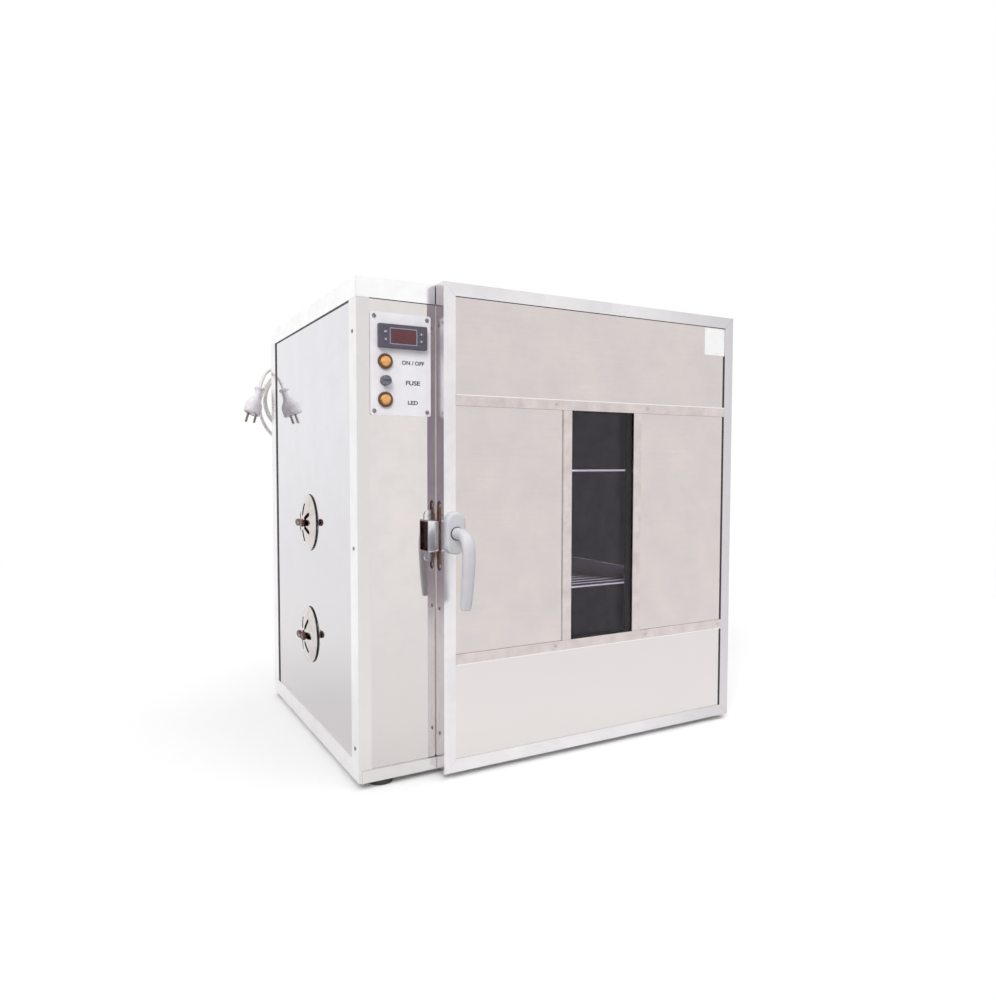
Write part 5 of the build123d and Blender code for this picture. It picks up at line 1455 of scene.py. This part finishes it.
@dataclass
class ControlPanel:
    """Lettering, key icons, the display's line and digits, and the fuse cap's ribs."""

    plate_y: float = -261.9
    bezel_y: float = -268.9
    thermostat: Pair = (-286.15, 675.8)
    display: Pair = (41.0, 21.6)
    line_width: float = 0.9
    key_spread: float = 28.3
    key_rise: float = 5.6
    key_proud: float = 0.8
    print_rise: float = 0.06
    # Word, left and right end, foot and top
    labels: tuple[tuple[str, float, float, float, float], ...] = (
        ("ON / OFF", -286.4, -250.2, 635.4, 641.7),
        ("FUSE", -279.9, -256.9, 605.3, 612.2),
        ("LED", -276.9, -260.4, 576.2, 582.3),
    )
    fuse: Pair = (-313.1, 610.3)
    fuse_back: float = -263.7
    fuse_radius: float = 7.4
    fuse_height: float = 8.0
    fuse_ribs: int = 26
    rib_radius: float = 0.45
    rib_sink: float = 0.2025
    rib_short: float = 2.6
    rib_back: float = 0.4
    rib_sides: int = 8
    ink_swell: float = 0.032
    letter_steps: int = 4
    digit_width: float = 6.4
    digit_height: float = 12.4
    digit_bar: float = 1.15
    digit_lean: float = 0.11
    digit_pitch: float = 11.2
    digit_shift: float = 1.0
    digit_gap: float = 0.35
    point_reach: float = 1.6
    point_size: float = 1.3
    point_corner: float = 0.6
    arrow_half: float = 1.7
    arrow_foot: float = 1.2
    arrow_tip: float = 1.5
    bulb_size: float = 2.0
    bulb_corner: float = 0.99
    rays: int = 8
    ray: Pair = (1.3, 2.0)
    ray_half: float = 0.16
    set_half: Pair = (2.4, 0.9)
    line_gap: float = 0.2
    rockers: tuple[tuple[str, float], ...] = (("power", 638.7), ("lamp", 582.5))
    rocker_x: float = -313.1
    rocker_pivot_y: float = -262.9
    rocker_lean: float = 8.0
    rocker_front: float = 3.4
    # Radius, and rise off the rocker's faces
    rim_section: tuple[Pair, ...] = (
        (6.3, -0.3), (6.45, 0.14), (7.4, 0.14), (7.65, -0.05), (7.65, -0.8),
    )
    rim_sides: int = 48

    def build(self) -> None:
        """Print the plate and finish the thermostat, the rockers and the fuse cap."""
        for text, left, right, low, high in self.labels:
            name = "label_" + "".join(c for c in text.lower() if c.isalpha())
            mesh = self.lettering(text, (left, right), (low, high), self.plate_y)
            make_piece(name, mesh, PRINT_INK, "cabinet")
        self.display_line()
        self.digits()
        self.icons()
        self.rocker_rims()
        self.fuse_knurl()

    def lettering(self, text: str, x: Pair, z: Pair, face_y: float) -> Mesh:
        """Print a word on a front face.

        Args:
            text: the word.
            x: from where to where it runs.
            z: its foot and its top.
            face_y: the face that it is printed on.

        Returns:
            The mesh, in place.
        """
        font = bpy.data.curves.new(text, "FONT")
        font.body = text
        half_thick = 0.5
        font.extrude = half_thick
        font.offset = self.ink_swell
        font.resolution_u = self.letter_steps
        mesh = plain_mesh(font)
        xs = [v.co.x for v in mesh.vertices]
        ys = [v.co.y for v in mesh.vertices]
        wide, tall = max(xs) - min(xs), max(ys) - min(ys)
        for v in mesh.vertices:
            across = x[0] + (v.co.x - min(xs)) / wide * (x[1] - x[0])
            up = z[0] + (v.co.y - min(ys)) / tall * (z[1] - z[0])
            out = face_y - (v.co.z + half_thick) * self.print_rise
            v.co = Vector((across, out, up)) * MM
        return mesh

    def display_line(self) -> None:
        """Frame the display with a thin printed line."""
        shape = bmesh.new()
        cx, cz = self.thermostat
        wide, tall = (size / 2 + self.line_gap for size in self.display)
        w = self.line_width
        bars = [
            (-wide - w, wide + w, tall, tall + w),
            (-wide - w, wide + w, -tall - w, -tall),
            (-wide - w, -wide, -tall, tall),
            (wide, wide + w, -tall, tall),
        ]
        for x0, x1, z0, z1 in bars:
            outline = [(cx + x0, cz + z0), (cx + x1, cz + z0), (cx + x1, cz + z1), (cx + x0, cz + z1)]
            slab(shape, outline, self.bezel_y, self.print_rise)
        make_piece("display_line", mesh_of(shape, None), LINE_INK, "cabinet")

    def digits(self) -> None:
        """Draw three unlit seven-bar digits with their points."""
        shape = bmesh.new()
        wide, half, bar = self.digit_width / 2, self.digit_height / 2, self.digit_bar / 2
        cz = self.thermostat[1]
        runs = [((-1, y), (1, y)) for y in (-1, 0, 1)]
        runs += [((x, y), (x, y + 1)) for x in (-1, 1) for y in (-1, 0)]
        for n in (-1, 0, 1):
            cx = self.thermostat[0] + n * self.digit_pitch + self.digit_shift
            for (x0, z0), (x1, z1) in runs:
                a, b = Vector((x0 * wide, z0 * half)), Vector((x1 * wide, z1 * half))
                way = (b - a).normalized()
                side, tip = Vector((-way.y, way.x)) * bar, way * bar
                a, b = a + way * self.digit_gap, b - way * self.digit_gap
                ring = [a, a + tip + side, b - tip + side, b, b - tip - side, a + tip - side]
                outline = [(cx + p.x + self.digit_lean * p.y, cz + p.y) for p in ring]
                slab(shape, outline, self.bezel_y, self.print_rise)
            spot, size = (cx + wide + self.point_reach, cz - half), self.point_size
            dot = rounded(spot, size, size, self.point_corner)
            slab(shape, dot, self.bezel_y, self.print_rise)
        make_piece("display_digits", mesh_of(shape, None), DIGIT_BAR, "cabinet")

    def icons(self) -> None:
        """Print a plain sign on each key."""
        cx, cz = self.thermostat
        face = self.bezel_y - self.key_proud
        left, right = cx - self.key_spread, cx + self.key_spread
        high, low = cz + self.key_rise, cz - self.key_rise
        shapes = {name: bmesh.new() for name in ("lamp", "up", "down")}
        half = self.arrow_half
        for name, z, sign in (("up", high, 1), ("down", low, -1)):
            foot, tip = z - sign * self.arrow_foot, z + sign * self.arrow_tip
            outline = [(right - half, foot), (right + half, foot), (right, tip)]
            slab(shapes[name], outline[::sign], face, self.print_rise)
        bulb = rounded((left, low), self.bulb_size, self.bulb_size, self.bulb_corner)
        slab(shapes["lamp"], bulb, face, self.print_rise)
        near, far = self.ray
        for turn in compass(self.rays):
            way = Vector(turn)
            side = Vector((-way.y, way.x)) * self.ray_half
            ring = [way * near - side, way * far - side, way * far + side, way * near + side]
            slab(shapes["lamp"], [(left + p.x, low + p.y) for p in ring], face, self.print_rise)
        for name, shape in shapes.items():
            make_piece(f"{name}_icon", mesh_of(shape, None), ICON_INK, f"{name}_button")
        wide, tall = self.set_half
        word = self.lettering("SET", (left - wide, left + wide), (high - tall, high + tall), face)
        make_piece("set_icon", word, ICON_INK, "set_button")

    def rocker_rims(self) -> None:
        """Mould the darker edge round each rocker, following its two sloping faces."""
        lean = math.radians(self.rocker_lean)
        out = FRONT * math.cos(lean) - UP * math.sin(lean)
        up = UP * math.cos(lean) - FRONT * math.sin(lean)
        for name, z in self.rockers:
            pivot = Vector((self.rocker_x, self.rocker_pivot_y, z))
            rings = []
            for radius, rise in self.rim_section:
                ring = []
                for cosine, sine in compass(self.rim_sides):
                    across, along = radius * cosine, radius * sine
                    height = self.rocker_front - abs(along) * math.tan(lean) + rise
                    ring.append((pivot + RIGHT * across + up * along + out * height) * MM)
                rings.append(ring)
            shape = bmesh.new()
            loft(shape, rings, hoop=True)
            make_piece(f"{name}_rocker_rim", mesh_of(shape), AMBER_EDGE, f"{name}_switch")

    def fuse_knurl(self) -> None:
        """Grow the grip ribs round the fuse cap."""
        sizes = {label: "NodeSocketFloat" for label in ("Cap Radius", "Rib Radius", "Rib Length")}
        grower = Grower("cap ribs", {**sizes, "Ribs": "NodeSocketInt"})
        links = {"Vertices": grower.given("Ribs"), "Radius": grower.given("Cap Radius")}
        circle = grower.add("GeometryNodeMeshCircle", {}, links)
        links = {"Radius": grower.given("Rib Radius"), "Depth": grower.given("Rib Length")}
        rib = grower.add("GeometryNodeMeshCylinder", {"Vertices": self.rib_sides}, links)
        grower.close(grower.spread(circle, rib))
        values = {
            "Cap Radius": (self.fuse_radius - self.rib_sink) * MM,
            "Rib Radius": self.rib_radius * MM,
            "Rib Length": (self.fuse_height - self.rib_short) * MM,
            "Ribs": self.fuse_ribs,
        }
        mesh = grower.grow(host_points([((0, 0, 0), FRONT)]), values, FUSE_PHENOLIC)
        rib_y = self.fuse_back - self.fuse_height / 2 + self.rib_back
        middle = Vector((self.fuse[0], rib_y, self.fuse[1]))
        mesh.transform(aimed(middle * MM, FRONT))
        make_piece("fuse_cap_ribs", mesh, FUSE_PHENOLIC, "fuse_holder_cap")


@dataclass
class Seams:
    """Dark strips between sheets and trims, painted as the shadow in their gaps, and the light fills beside
    two strips.
    """

    stand: float = 0.8
    fill_stand: float = 1.45
    edge: float = 0.25
    edge_steps: int = 2
    side_faces: tuple[tuple[float, Vector], ...] = ((-355.4, LEFT), (365.6, RIGHT))
    # Spans along y and z here, along x and z in the other strips
    side_strips: tuple[tuple[Pair, Pair], ...] = (
        ((236.0, 243.6), (40.0, 730.0)), ((-228.4, 236.0), (727.6, 730.0)),
    )
    rear_y: float = 277.1
    rear_strips: tuple[tuple[Pair, Pair], ...] = (
        ((-336.9, -334.4), (40.0, 730.0)), ((344.6, 347.1), (40.0, 730.0)),
        ((-334.4, 344.6), (727.6, 730.0)), ((-334.4, 344.6), (40.0, 41.0)),
    )
    front_y: float = -259.9
    front_strips: tuple[tuple[Pair, Pair], ...] = (((-336.9, -232.5), (729.0, 730.0)),)
    fill_strips: tuple[tuple[Pair, Pair], ...] = (((-336.7, 346.8), (26.8, 28.4)),)
    door_y: float = -289.1
    strip_fill: tuple[Pair, Pair] = ((-15.1, -13.95), (194.3, 575.7))
    strip_fill_stand: float = 1.4
    strip_fill_edge: float = 0.55
    door_strips: tuple[tuple[Pair, Pair], ...] = (
        ((-210.9, 347.1), (739.0, 740.0)), ((344.3, 347.1), (30.0, 177.0)),
        ((344.3, 347.1), (194.0, 576.0)), ((344.3, 347.1), (593.0, 688.0)),
    )

    def build(self) -> None:
        """Lay the strips on the case and on the door."""
        grower = self.tree()
        case: list[tuple[Spot, Vector, Spot]] = []
        for x, way in self.side_faces:
            case += [self.row((x, x), y, z, way) for y, z in self.side_strips]
        case += [self.row(x, (self.rear_y, self.rear_y), z, REAR) for x, z in self.rear_strips]
        front = (self.front_y, self.front_y)
        case += [self.row(x, front, z, FRONT) for x, z in self.front_strips]
        door = [self.row(x, (self.door_y, self.door_y), z, FRONT) for x, z in self.door_strips]
        fill = [self.row(x, front, z, FRONT) for x, z in self.fill_strips]
        bead = [self.row(self.strip_fill[0], (self.door_y, self.door_y), self.strip_fill[1], FRONT)]
        # The dark strips are painted shadow in the gaps; the fills are light beads
        shadowed, filled = (self.stand, self.edge), (self.fill_stand, self.edge)
        self.lay(grower, "case_gap_shadows", case, shadowed, GAP_SHADOW, "cabinet")
        self.lay(grower, "door_gap_shadows", door, shadowed, GAP_SHADOW, "door")
        self.lay(grower, "front_fill", fill, filled, TRIM_ALUMINIUM, "cabinet")
        round_bead = (self.strip_fill_stand, self.strip_fill_edge)
        self.lay(grower, "strip_fill", bead, round_bead, BAND_STEEL, "door")

    @staticmethod
    def row(x: Pair, y: Pair, z: Pair, way: Vector) -> tuple[Spot, Vector, Spot]:
        """Set out one strip.

        Args:
            x: from where to where it runs along x.
            y: the same along y.
            z: the same along z.
            way: the direction that it stands out in, along which it has no length yet.

        Returns:
            Its middle, its outward direction and its spans.
        """
        middle = tuple((low + high) / 2 for low, high in (x, y, z))
        return middle, way, tuple(high - low for low, high in (x, y, z))

    def tree(self) -> Grower:
        """Build the tree: a block on each point, as long as its spans and as thick as its stand.

        Returns:
            The tree, ready to grow.
        """
        grower = Grower("gap shadow strips", {"Stand": "NodeSocketFloat"})
        stand = {0: grower.carried("outward"), "Scale": grower.given("Stand")}
        rise = grower.add("ShaderNodeVectorMath", {"operation": "SCALE"}, stand)
        thick = grower.add("ShaderNodeVectorMath", {"operation": "ABSOLUTE"}, {0: rise})
        spans = {0: thick, 1: grower.carried("spans")}
        size = grower.add("ShaderNodeVectorMath", {"operation": "ADD"}, spans)
        half = grower.add("ShaderNodeVectorMath", {"operation": "SCALE", "Scale": 0.5}, {0: rise})
        links = {"Geometry": grower.given("Geometry"), "Offset": half}
        lifted = grower.add("GeometryNodeSetPosition", {}, links)
        block = grower.add("GeometryNodeMeshCube", {"Size": (1, 1, 1)})
        grower.close(grower.spread(lifted, block, {"Scale": size}))
        return grower

    def lay(
        self,
        grower: Grower,
        name: str,
        rows: Sequence[tuple[Spot, Vector, Spot]],
        section: Pair,
        finish: Finish,
        body: str,
    ) -> None:
        """Grow one body's strips and ease their edges.

        Args:
            grower: the strips' tree.
            name: the piece's name.
            rows: each strip's middle, outward direction and spans.
            section: how far they stand out, and how far their edges are eased.
            finish: what they are made of.
            body: the CAD body they sit on.
        """
        host = host_points([(spot, way) for spot, way, _ in rows])
        spans = host.attributes.new("spans", "FLOAT_VECTOR", "POINT")
        for n, (_, _, sizes) in enumerate(rows):
            spans.data[n].vector = Vector(sizes) * MM
        mesh = grower.grow(host, {"Stand": section[0] * MM}, finish)
        piece = make_piece(name, mesh, finish, body)
        bevel = piece.modifiers.new("eased", "BEVEL")
        bevel.width = section[1] * MM
        bevel.segments = self.edge_steps


@dataclass
class DoorLabel:
    """The blank label near the door's top corner."""

    x: Pair = (297.6, 346.9)
    z: Pair = (689.0, 738.0)
    sheet_y: float = -289.1
    thickness: float = 0.15
    corner: float = 1.5

    def build(self) -> None:
        """Lay the label on the door's sheet."""
        centre = ((self.x[0] + self.x[1]) / 2, (self.z[0] + self.z[1]) / 2)
        outline = rounded(centre, self.x[1] - self.x[0], self.z[1] - self.z[0], self.corner)
        shape = bmesh.new()
        slab(shape, outline, self.sheet_y, self.thickness)
        make_piece("blank_label", mesh_of(shape, None), LABEL_VINYL, "door")


@dataclass
class FanGuard:
    """Wire rings and spokes over the fan's opening, on the chamber side."""

    wall_x: float = -206.9
    y: float = 8.6
    z: float = 370.0
    outer: float = 61.0
    step: float = 9.0
    rings: int = 6
    wire: float = 1.0
    spokes: int = 4
    spoke_start: float = 0.22
    spoke_lift: float = 1.6
    wire_sides: int = 8
    ring_sides: int = 64

    def build(self) -> None:
        """Grow the guard and set it on the wall."""
        labels = ("Outer Radius", "Ring Step", "Wire Radius")
        sizes = {label: "NodeSocketFloat" for label in labels}
        grower = Grower("guard rings", {**sizes, "Rings": "NodeSocketInt", "Spokes": "NodeSocketInt"})
        outer, thick = grower.given("Outer Radius"), grower.given("Wire Radius")
        circle = "GeometryNodeCurvePrimitiveCircle"
        wire = grower.add(circle, {"Resolution": self.wire_sides}, {"Radius": thick})
        unit = grower.add(circle, {"Resolution": self.ring_sides, "Radius": 1.0})
        still = {"Offset": (0, 0, 0)}
        count = grower.add("GeometryNodeMeshLine", still, {"Count": grower.given("Rings")})
        index = grower.add("GeometryNodeInputIndex")
        inward = grower.number("MULTIPLY", index, grower.given("Ring Step"))
        radius = grower.number("SUBTRACT", outer, inward)
        rings = grower.spread(count, unit, {"Scale": radius})
        real = grower.add("GeometryNodeRealizeInstances", {}, {"Geometry": rings})
        hoops = grower.add("GeometryNodeCurveToMesh", {}, {"Curve": real, "Profile Curve": wire})
        reach = grower.vector(X=outer)
        settings = {"operation": "SCALE", "Scale": self.spoke_start}
        back = grower.add("ShaderNodeVectorMath", settings, {0: reach})
        line = grower.add("GeometryNodeCurvePrimitiveLine", {}, {"Start": back, "End": reach})
        links = {"Curve": line, "Profile Curve": wire}
        rod = grower.add("GeometryNodeCurveToMesh", {"Fill Caps": True}, links)
        spokes = grower.given("Spokes")
        spots = grower.add("GeometryNodeMeshLine", still, {"Count": spokes})
        share = grower.number("DIVIDE", index, spokes)
        angle = grower.number("MULTIPLY", share, 2 * math.pi)
        turn = grower.add("FunctionNodeAxisAngleToRotation", {"Axis": UP}, {"Angle": angle})
        rods = grower.spread(spots, rod, {"Rotation": turn})
        up = grower.vector(Z=grower.number("MULTIPLY", thick, self.spoke_lift))
        raised = grower.add("GeometryNodeTransform", {}, {"Geometry": rods, "Translation": up})
        both = grower.add("GeometryNodeJoinGeometry", {}, {"Geometry": [hoops, raised]})
        grower.close(grower.add("GeometryNodeSetShadeSmooth", {}, {0: both}))
        values = {
            "Outer Radius": self.outer * MM,
            "Ring Step": self.step * MM,
            "Wire Radius": self.wire * MM,
            "Rings": self.rings,
            "Spokes": self.spokes,
        }
        mesh = grower.grow(host_points([((0, 0, 0), RIGHT)]), values, SHELF_CHROME)
        mesh.transform(aimed(Vector((self.wall_x + self.wire, self.y, self.z)) * MM, RIGHT))
        make_piece("fan_guard", mesh, SHELF_CHROME, "cabinet")


@dataclass
class Studio:
    """Camera, floor, soft light and a white background, all in metres."""

    eye: Spot = (-0.7185003, -1.3305891, 0.4878268)
    across: Spot = (0.8729528697, -0.4878005690, 0.0019728433)
    down: Spot = (-0.0215583469, -0.0426199023, -0.9988587396)
    ahead: Spot = (0.4873279439, 0.8719140719, -0.0477213399)
    lens: float = 27.333
    sensor: float = 36.0
    floor_size: float = 60.0
    sky_level: float = 0.26
    floor_lift: float = 0.03
    floor_shade: str = "#C8C8C8"
    floor_colour: str = "#F2F2F2"
    fade: Pair = (1.3, 3.2)
    # Strength, spread in degrees, and the direction that the light comes from
    key: tuple[float, float, Spot] = (1.55, 60.0, (0.12, -0.2, 0.97))
    fill: tuple[float, float, Spot] = (2.05, 34.0, (-0.52, -0.58, 0.63))
    window_middle: Spot = (0.068, -0.25, 0.4)
    window_size: Pair = (0.4, 0.36)
    window_level: float = 0.42
    card_middle: Spot = (-0.8, -1.49, 0.55)
    card_size: Pair = (0.9, 1.1)
    card_colour: str = "#E4D9E6"
    clip: Pair = (0.05, 100.0)
    white: str = "#FFFFFF"

    def build(self) -> None:
        """Set the stage."""
        scene = bpy.context.scene
        scene.view_settings.view_transform = "Standard"
        self.camera(scene)
        self.world(scene)
        self.floor()
        self.sun("key_light", *self.key)
        self.sun("fill_light", *self.fill)
        self.card()
        self.daylight()

    def camera(self, scene: bpy.types.Scene) -> None:
        """Stand the camera where the photograph was taken.

        Args:
            scene: the scene that gets it.
        """
        lens = bpy.data.cameras.new("camera")
        lens.lens = self.lens
        lens.sensor_width = self.sensor
        lens.sensor_fit = "AUTO"
        lens.clip_start, lens.clip_end = self.clip
        holder = linked("camera", lens)
        right, top, back = Vector(self.across), -Vector(self.down), -Vector(self.ahead)
        turn = Matrix((right, top, back)).transposed()
        holder.matrix_world = Matrix.Translation(self.eye) @ turn.to_4x4()
        scene.camera = holder

    @staticmethod
    def seen_directly(tree: Tree) -> Socket:
        """Tell what the camera, metal and glass see from what only lights the object.

        Args:
            tree: the tree that asks.

        Returns:
            A factor that is 1 for what is seen.
        """
        path = add_node(tree, "ShaderNodeLightPath")
        seen = path.outputs["Is Camera Ray"]
        for name in ("Is Glossy Ray", "Is Transmission Ray"):
            seen = number(tree, "MAXIMUM", seen, path.outputs[name])
        return seen

    def world(self, scene: bpy.types.Scene) -> None:
        """Hang a white background, and a soft dome that lights the object.

        Args:
            scene: the scene that gets them.
        """
        scene.world = bpy.data.worlds.new("studio")
        tree = empty_tree(scene.world)
        settings = {"Color": linear(self.white), "Strength": self.sky_level}
        dome = add_node(tree, "ShaderNodeBackground", settings)
        white = add_node(tree, "ShaderNodeBackground", {"Color": linear(self.white), "Strength": 1.0})
        links = {0: self.seen_directly(tree), 1: dome.outputs[0], 2: white.outputs[0]}
        mixed = add_node(tree, "ShaderNodeMixShader", {}, links)
        add_node(tree, "ShaderNodeOutputWorld", {}, {"Surface": mixed.outputs[0]})

    def floor(self) -> None:
        """Lay a plain pale floor that keeps the object's shadow."""
        half = self.floor_size / 2
        corners = [(-half, -half, 0), (half, -half, 0), (half, half, 0), (-half, half, 0)]
        floor, tree = self.sheet("floor", "pale_floor", corners)
        seen = self.seen_directly(tree)
        pale = blend(tree, seen, self.floor_shade, self.floor_colour)
        matt = add_node(tree, "ShaderNodeBsdfDiffuse", {}, {"Color": pale})
        camera = add_node(tree, "ShaderNodeLightPath").outputs["Is Camera Ray"]
        glow = number(tree, "MULTIPLY", camera, self.floor_lift)
        white = {"Color": linear(self.white)}
        lift = add_node(tree, "ShaderNodeEmission", white, {"Strength": glow})
        near = add_node(tree, "ShaderNodeAddShader", {}, {0: matt.outputs[0], 1: lift.outputs[0]})
        place = add_node(tree, "ShaderNodeTexCoord").outputs["Object"]
        reach = add_node(tree, "ShaderNodeVectorMath", {"operation": "LENGTH"}, {0: place})
        settings = {"interpolation_type": "SMOOTHSTEP", "From Min": self.fade[0], "From Max": self.fade[1]}
        fade = add_node(tree, "ShaderNodeMapRange", settings, {"Value": reach.outputs["Value"]})
        share = number(tree, "MULTIPLY", fade.outputs[0], seen)
        far = add_node(tree, "ShaderNodeEmission", {**white, "Strength": 1.0})
        links = {0: share, 1: near.outputs[0], 2: far.outputs[0]}
        both = add_node(tree, "ShaderNodeMixShader", {}, links)
        add_node(tree, "ShaderNodeOutputMaterial", {}, {"Surface": both.outputs[0]})

    @staticmethod
    def sheet(name: str, finish: str, corners: Sequence[Sequence[float]]) -> tuple[bpy.types.Object, Tree]:
        """Make a flat square of the stage.

        Args:
            name: its name.
            finish: its material's name.
            corners: its corners in order, in metres.

        Returns:
            The square, and its material's empty tree.
        """
        mesh = bpy.data.meshes.new(name)
        mesh.from_pydata(corners, [], [(0, 1, 2, 3)])
        made = bpy.data.materials.new(finish)
        mesh.materials.append(made)
        return linked(name, mesh), empty_tree(made)

    @staticmethod
    def sun(name: str, level: float, spread: float, toward: Spot) -> None:
        """Light the object softly from one side.

        Args:
            name: the lamp's name.
            level: its strength.
            spread: its angle in degrees.
            toward: the direction that its light comes from.
        """
        light = bpy.data.lights.new(name, "SUN")
        light.energy = level
        light.angle = math.radians(spread)
        holder = linked(name, light)
        holder.matrix_world = Vector(toward).to_track_quat("Z", "Y").to_matrix().to_4x4()
        holder.visible_glossy = False

    def daylight(self) -> None:
        """Stand in for the light that comes through the panes and catches the shelves."""
        light = bpy.data.lights.new("window_light", "AREA")
        light.shape = "RECTANGLE"
        light.size, light.size_y = self.window_size
        light.energy = self.window_level
        holder = linked("window_light", light)
        turn = FRONT.to_track_quat("Z", "Y").to_matrix().to_4x4()
        holder.matrix_world = Matrix.Translation(self.window_middle) @ turn
        holder.visible_transmission = False

    def card(self) -> None:
        """Stand a grey card behind the camera, for the metal's edges to mirror."""
        middle, ahead = Vector(self.card_middle), Vector((self.ahead[0], self.ahead[1], 0)).normalized()
        side, rise = ahead.cross(UP) * self.card_size[0] / 2, UP * self.card_size[1] / 2
        corners = [middle - side - rise, middle + side - rise, middle + side + rise, middle - side + rise]
        card, tree = self.sheet("grey_card", "grey_card", corners)
        matt = add_node(tree, "ShaderNodeBsdfDiffuse", {"Color": linear(self.card_colour)})
        add_node(tree, "ShaderNodeOutputMaterial", {}, {"Surface": matt.outputs[0]})
        card.visible_camera = False
        card.visible_diffuse = False
        card.visible_transmission = False
        card.visible_shadow = False


def dress_nodes(nodes: Mapping[str, bpy.types.Object]) -> None:
    """Give every carried-over CAD node its finish.

    Args:
        nodes: the CAD nodes by name.
    """
    for finish, names in CAD_FINISHES.items():
        for name in names:
            slots = nodes[name].data.materials
            slots.clear()
            slots.append(finish.material())
            log.info("%s: %s", name, finish.name)


def main() -> None:
    """Build the looks round the frame, in order."""
    logging.basicConfig(level=logging.INFO, format="%(name)s: %(message)s")
    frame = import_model()
    Studio().build()
    MainsCord().build()
    dress_nodes(frame["nodes"])
    Fixings().build()
    Vents().build()
    DoorHandle().build()
    LockEdge().build()
    ControlPanel().build()
    Seams().build()
    DoorLabel().build()
    FanGuard().build()


if __name__ == "__main__":
    main()
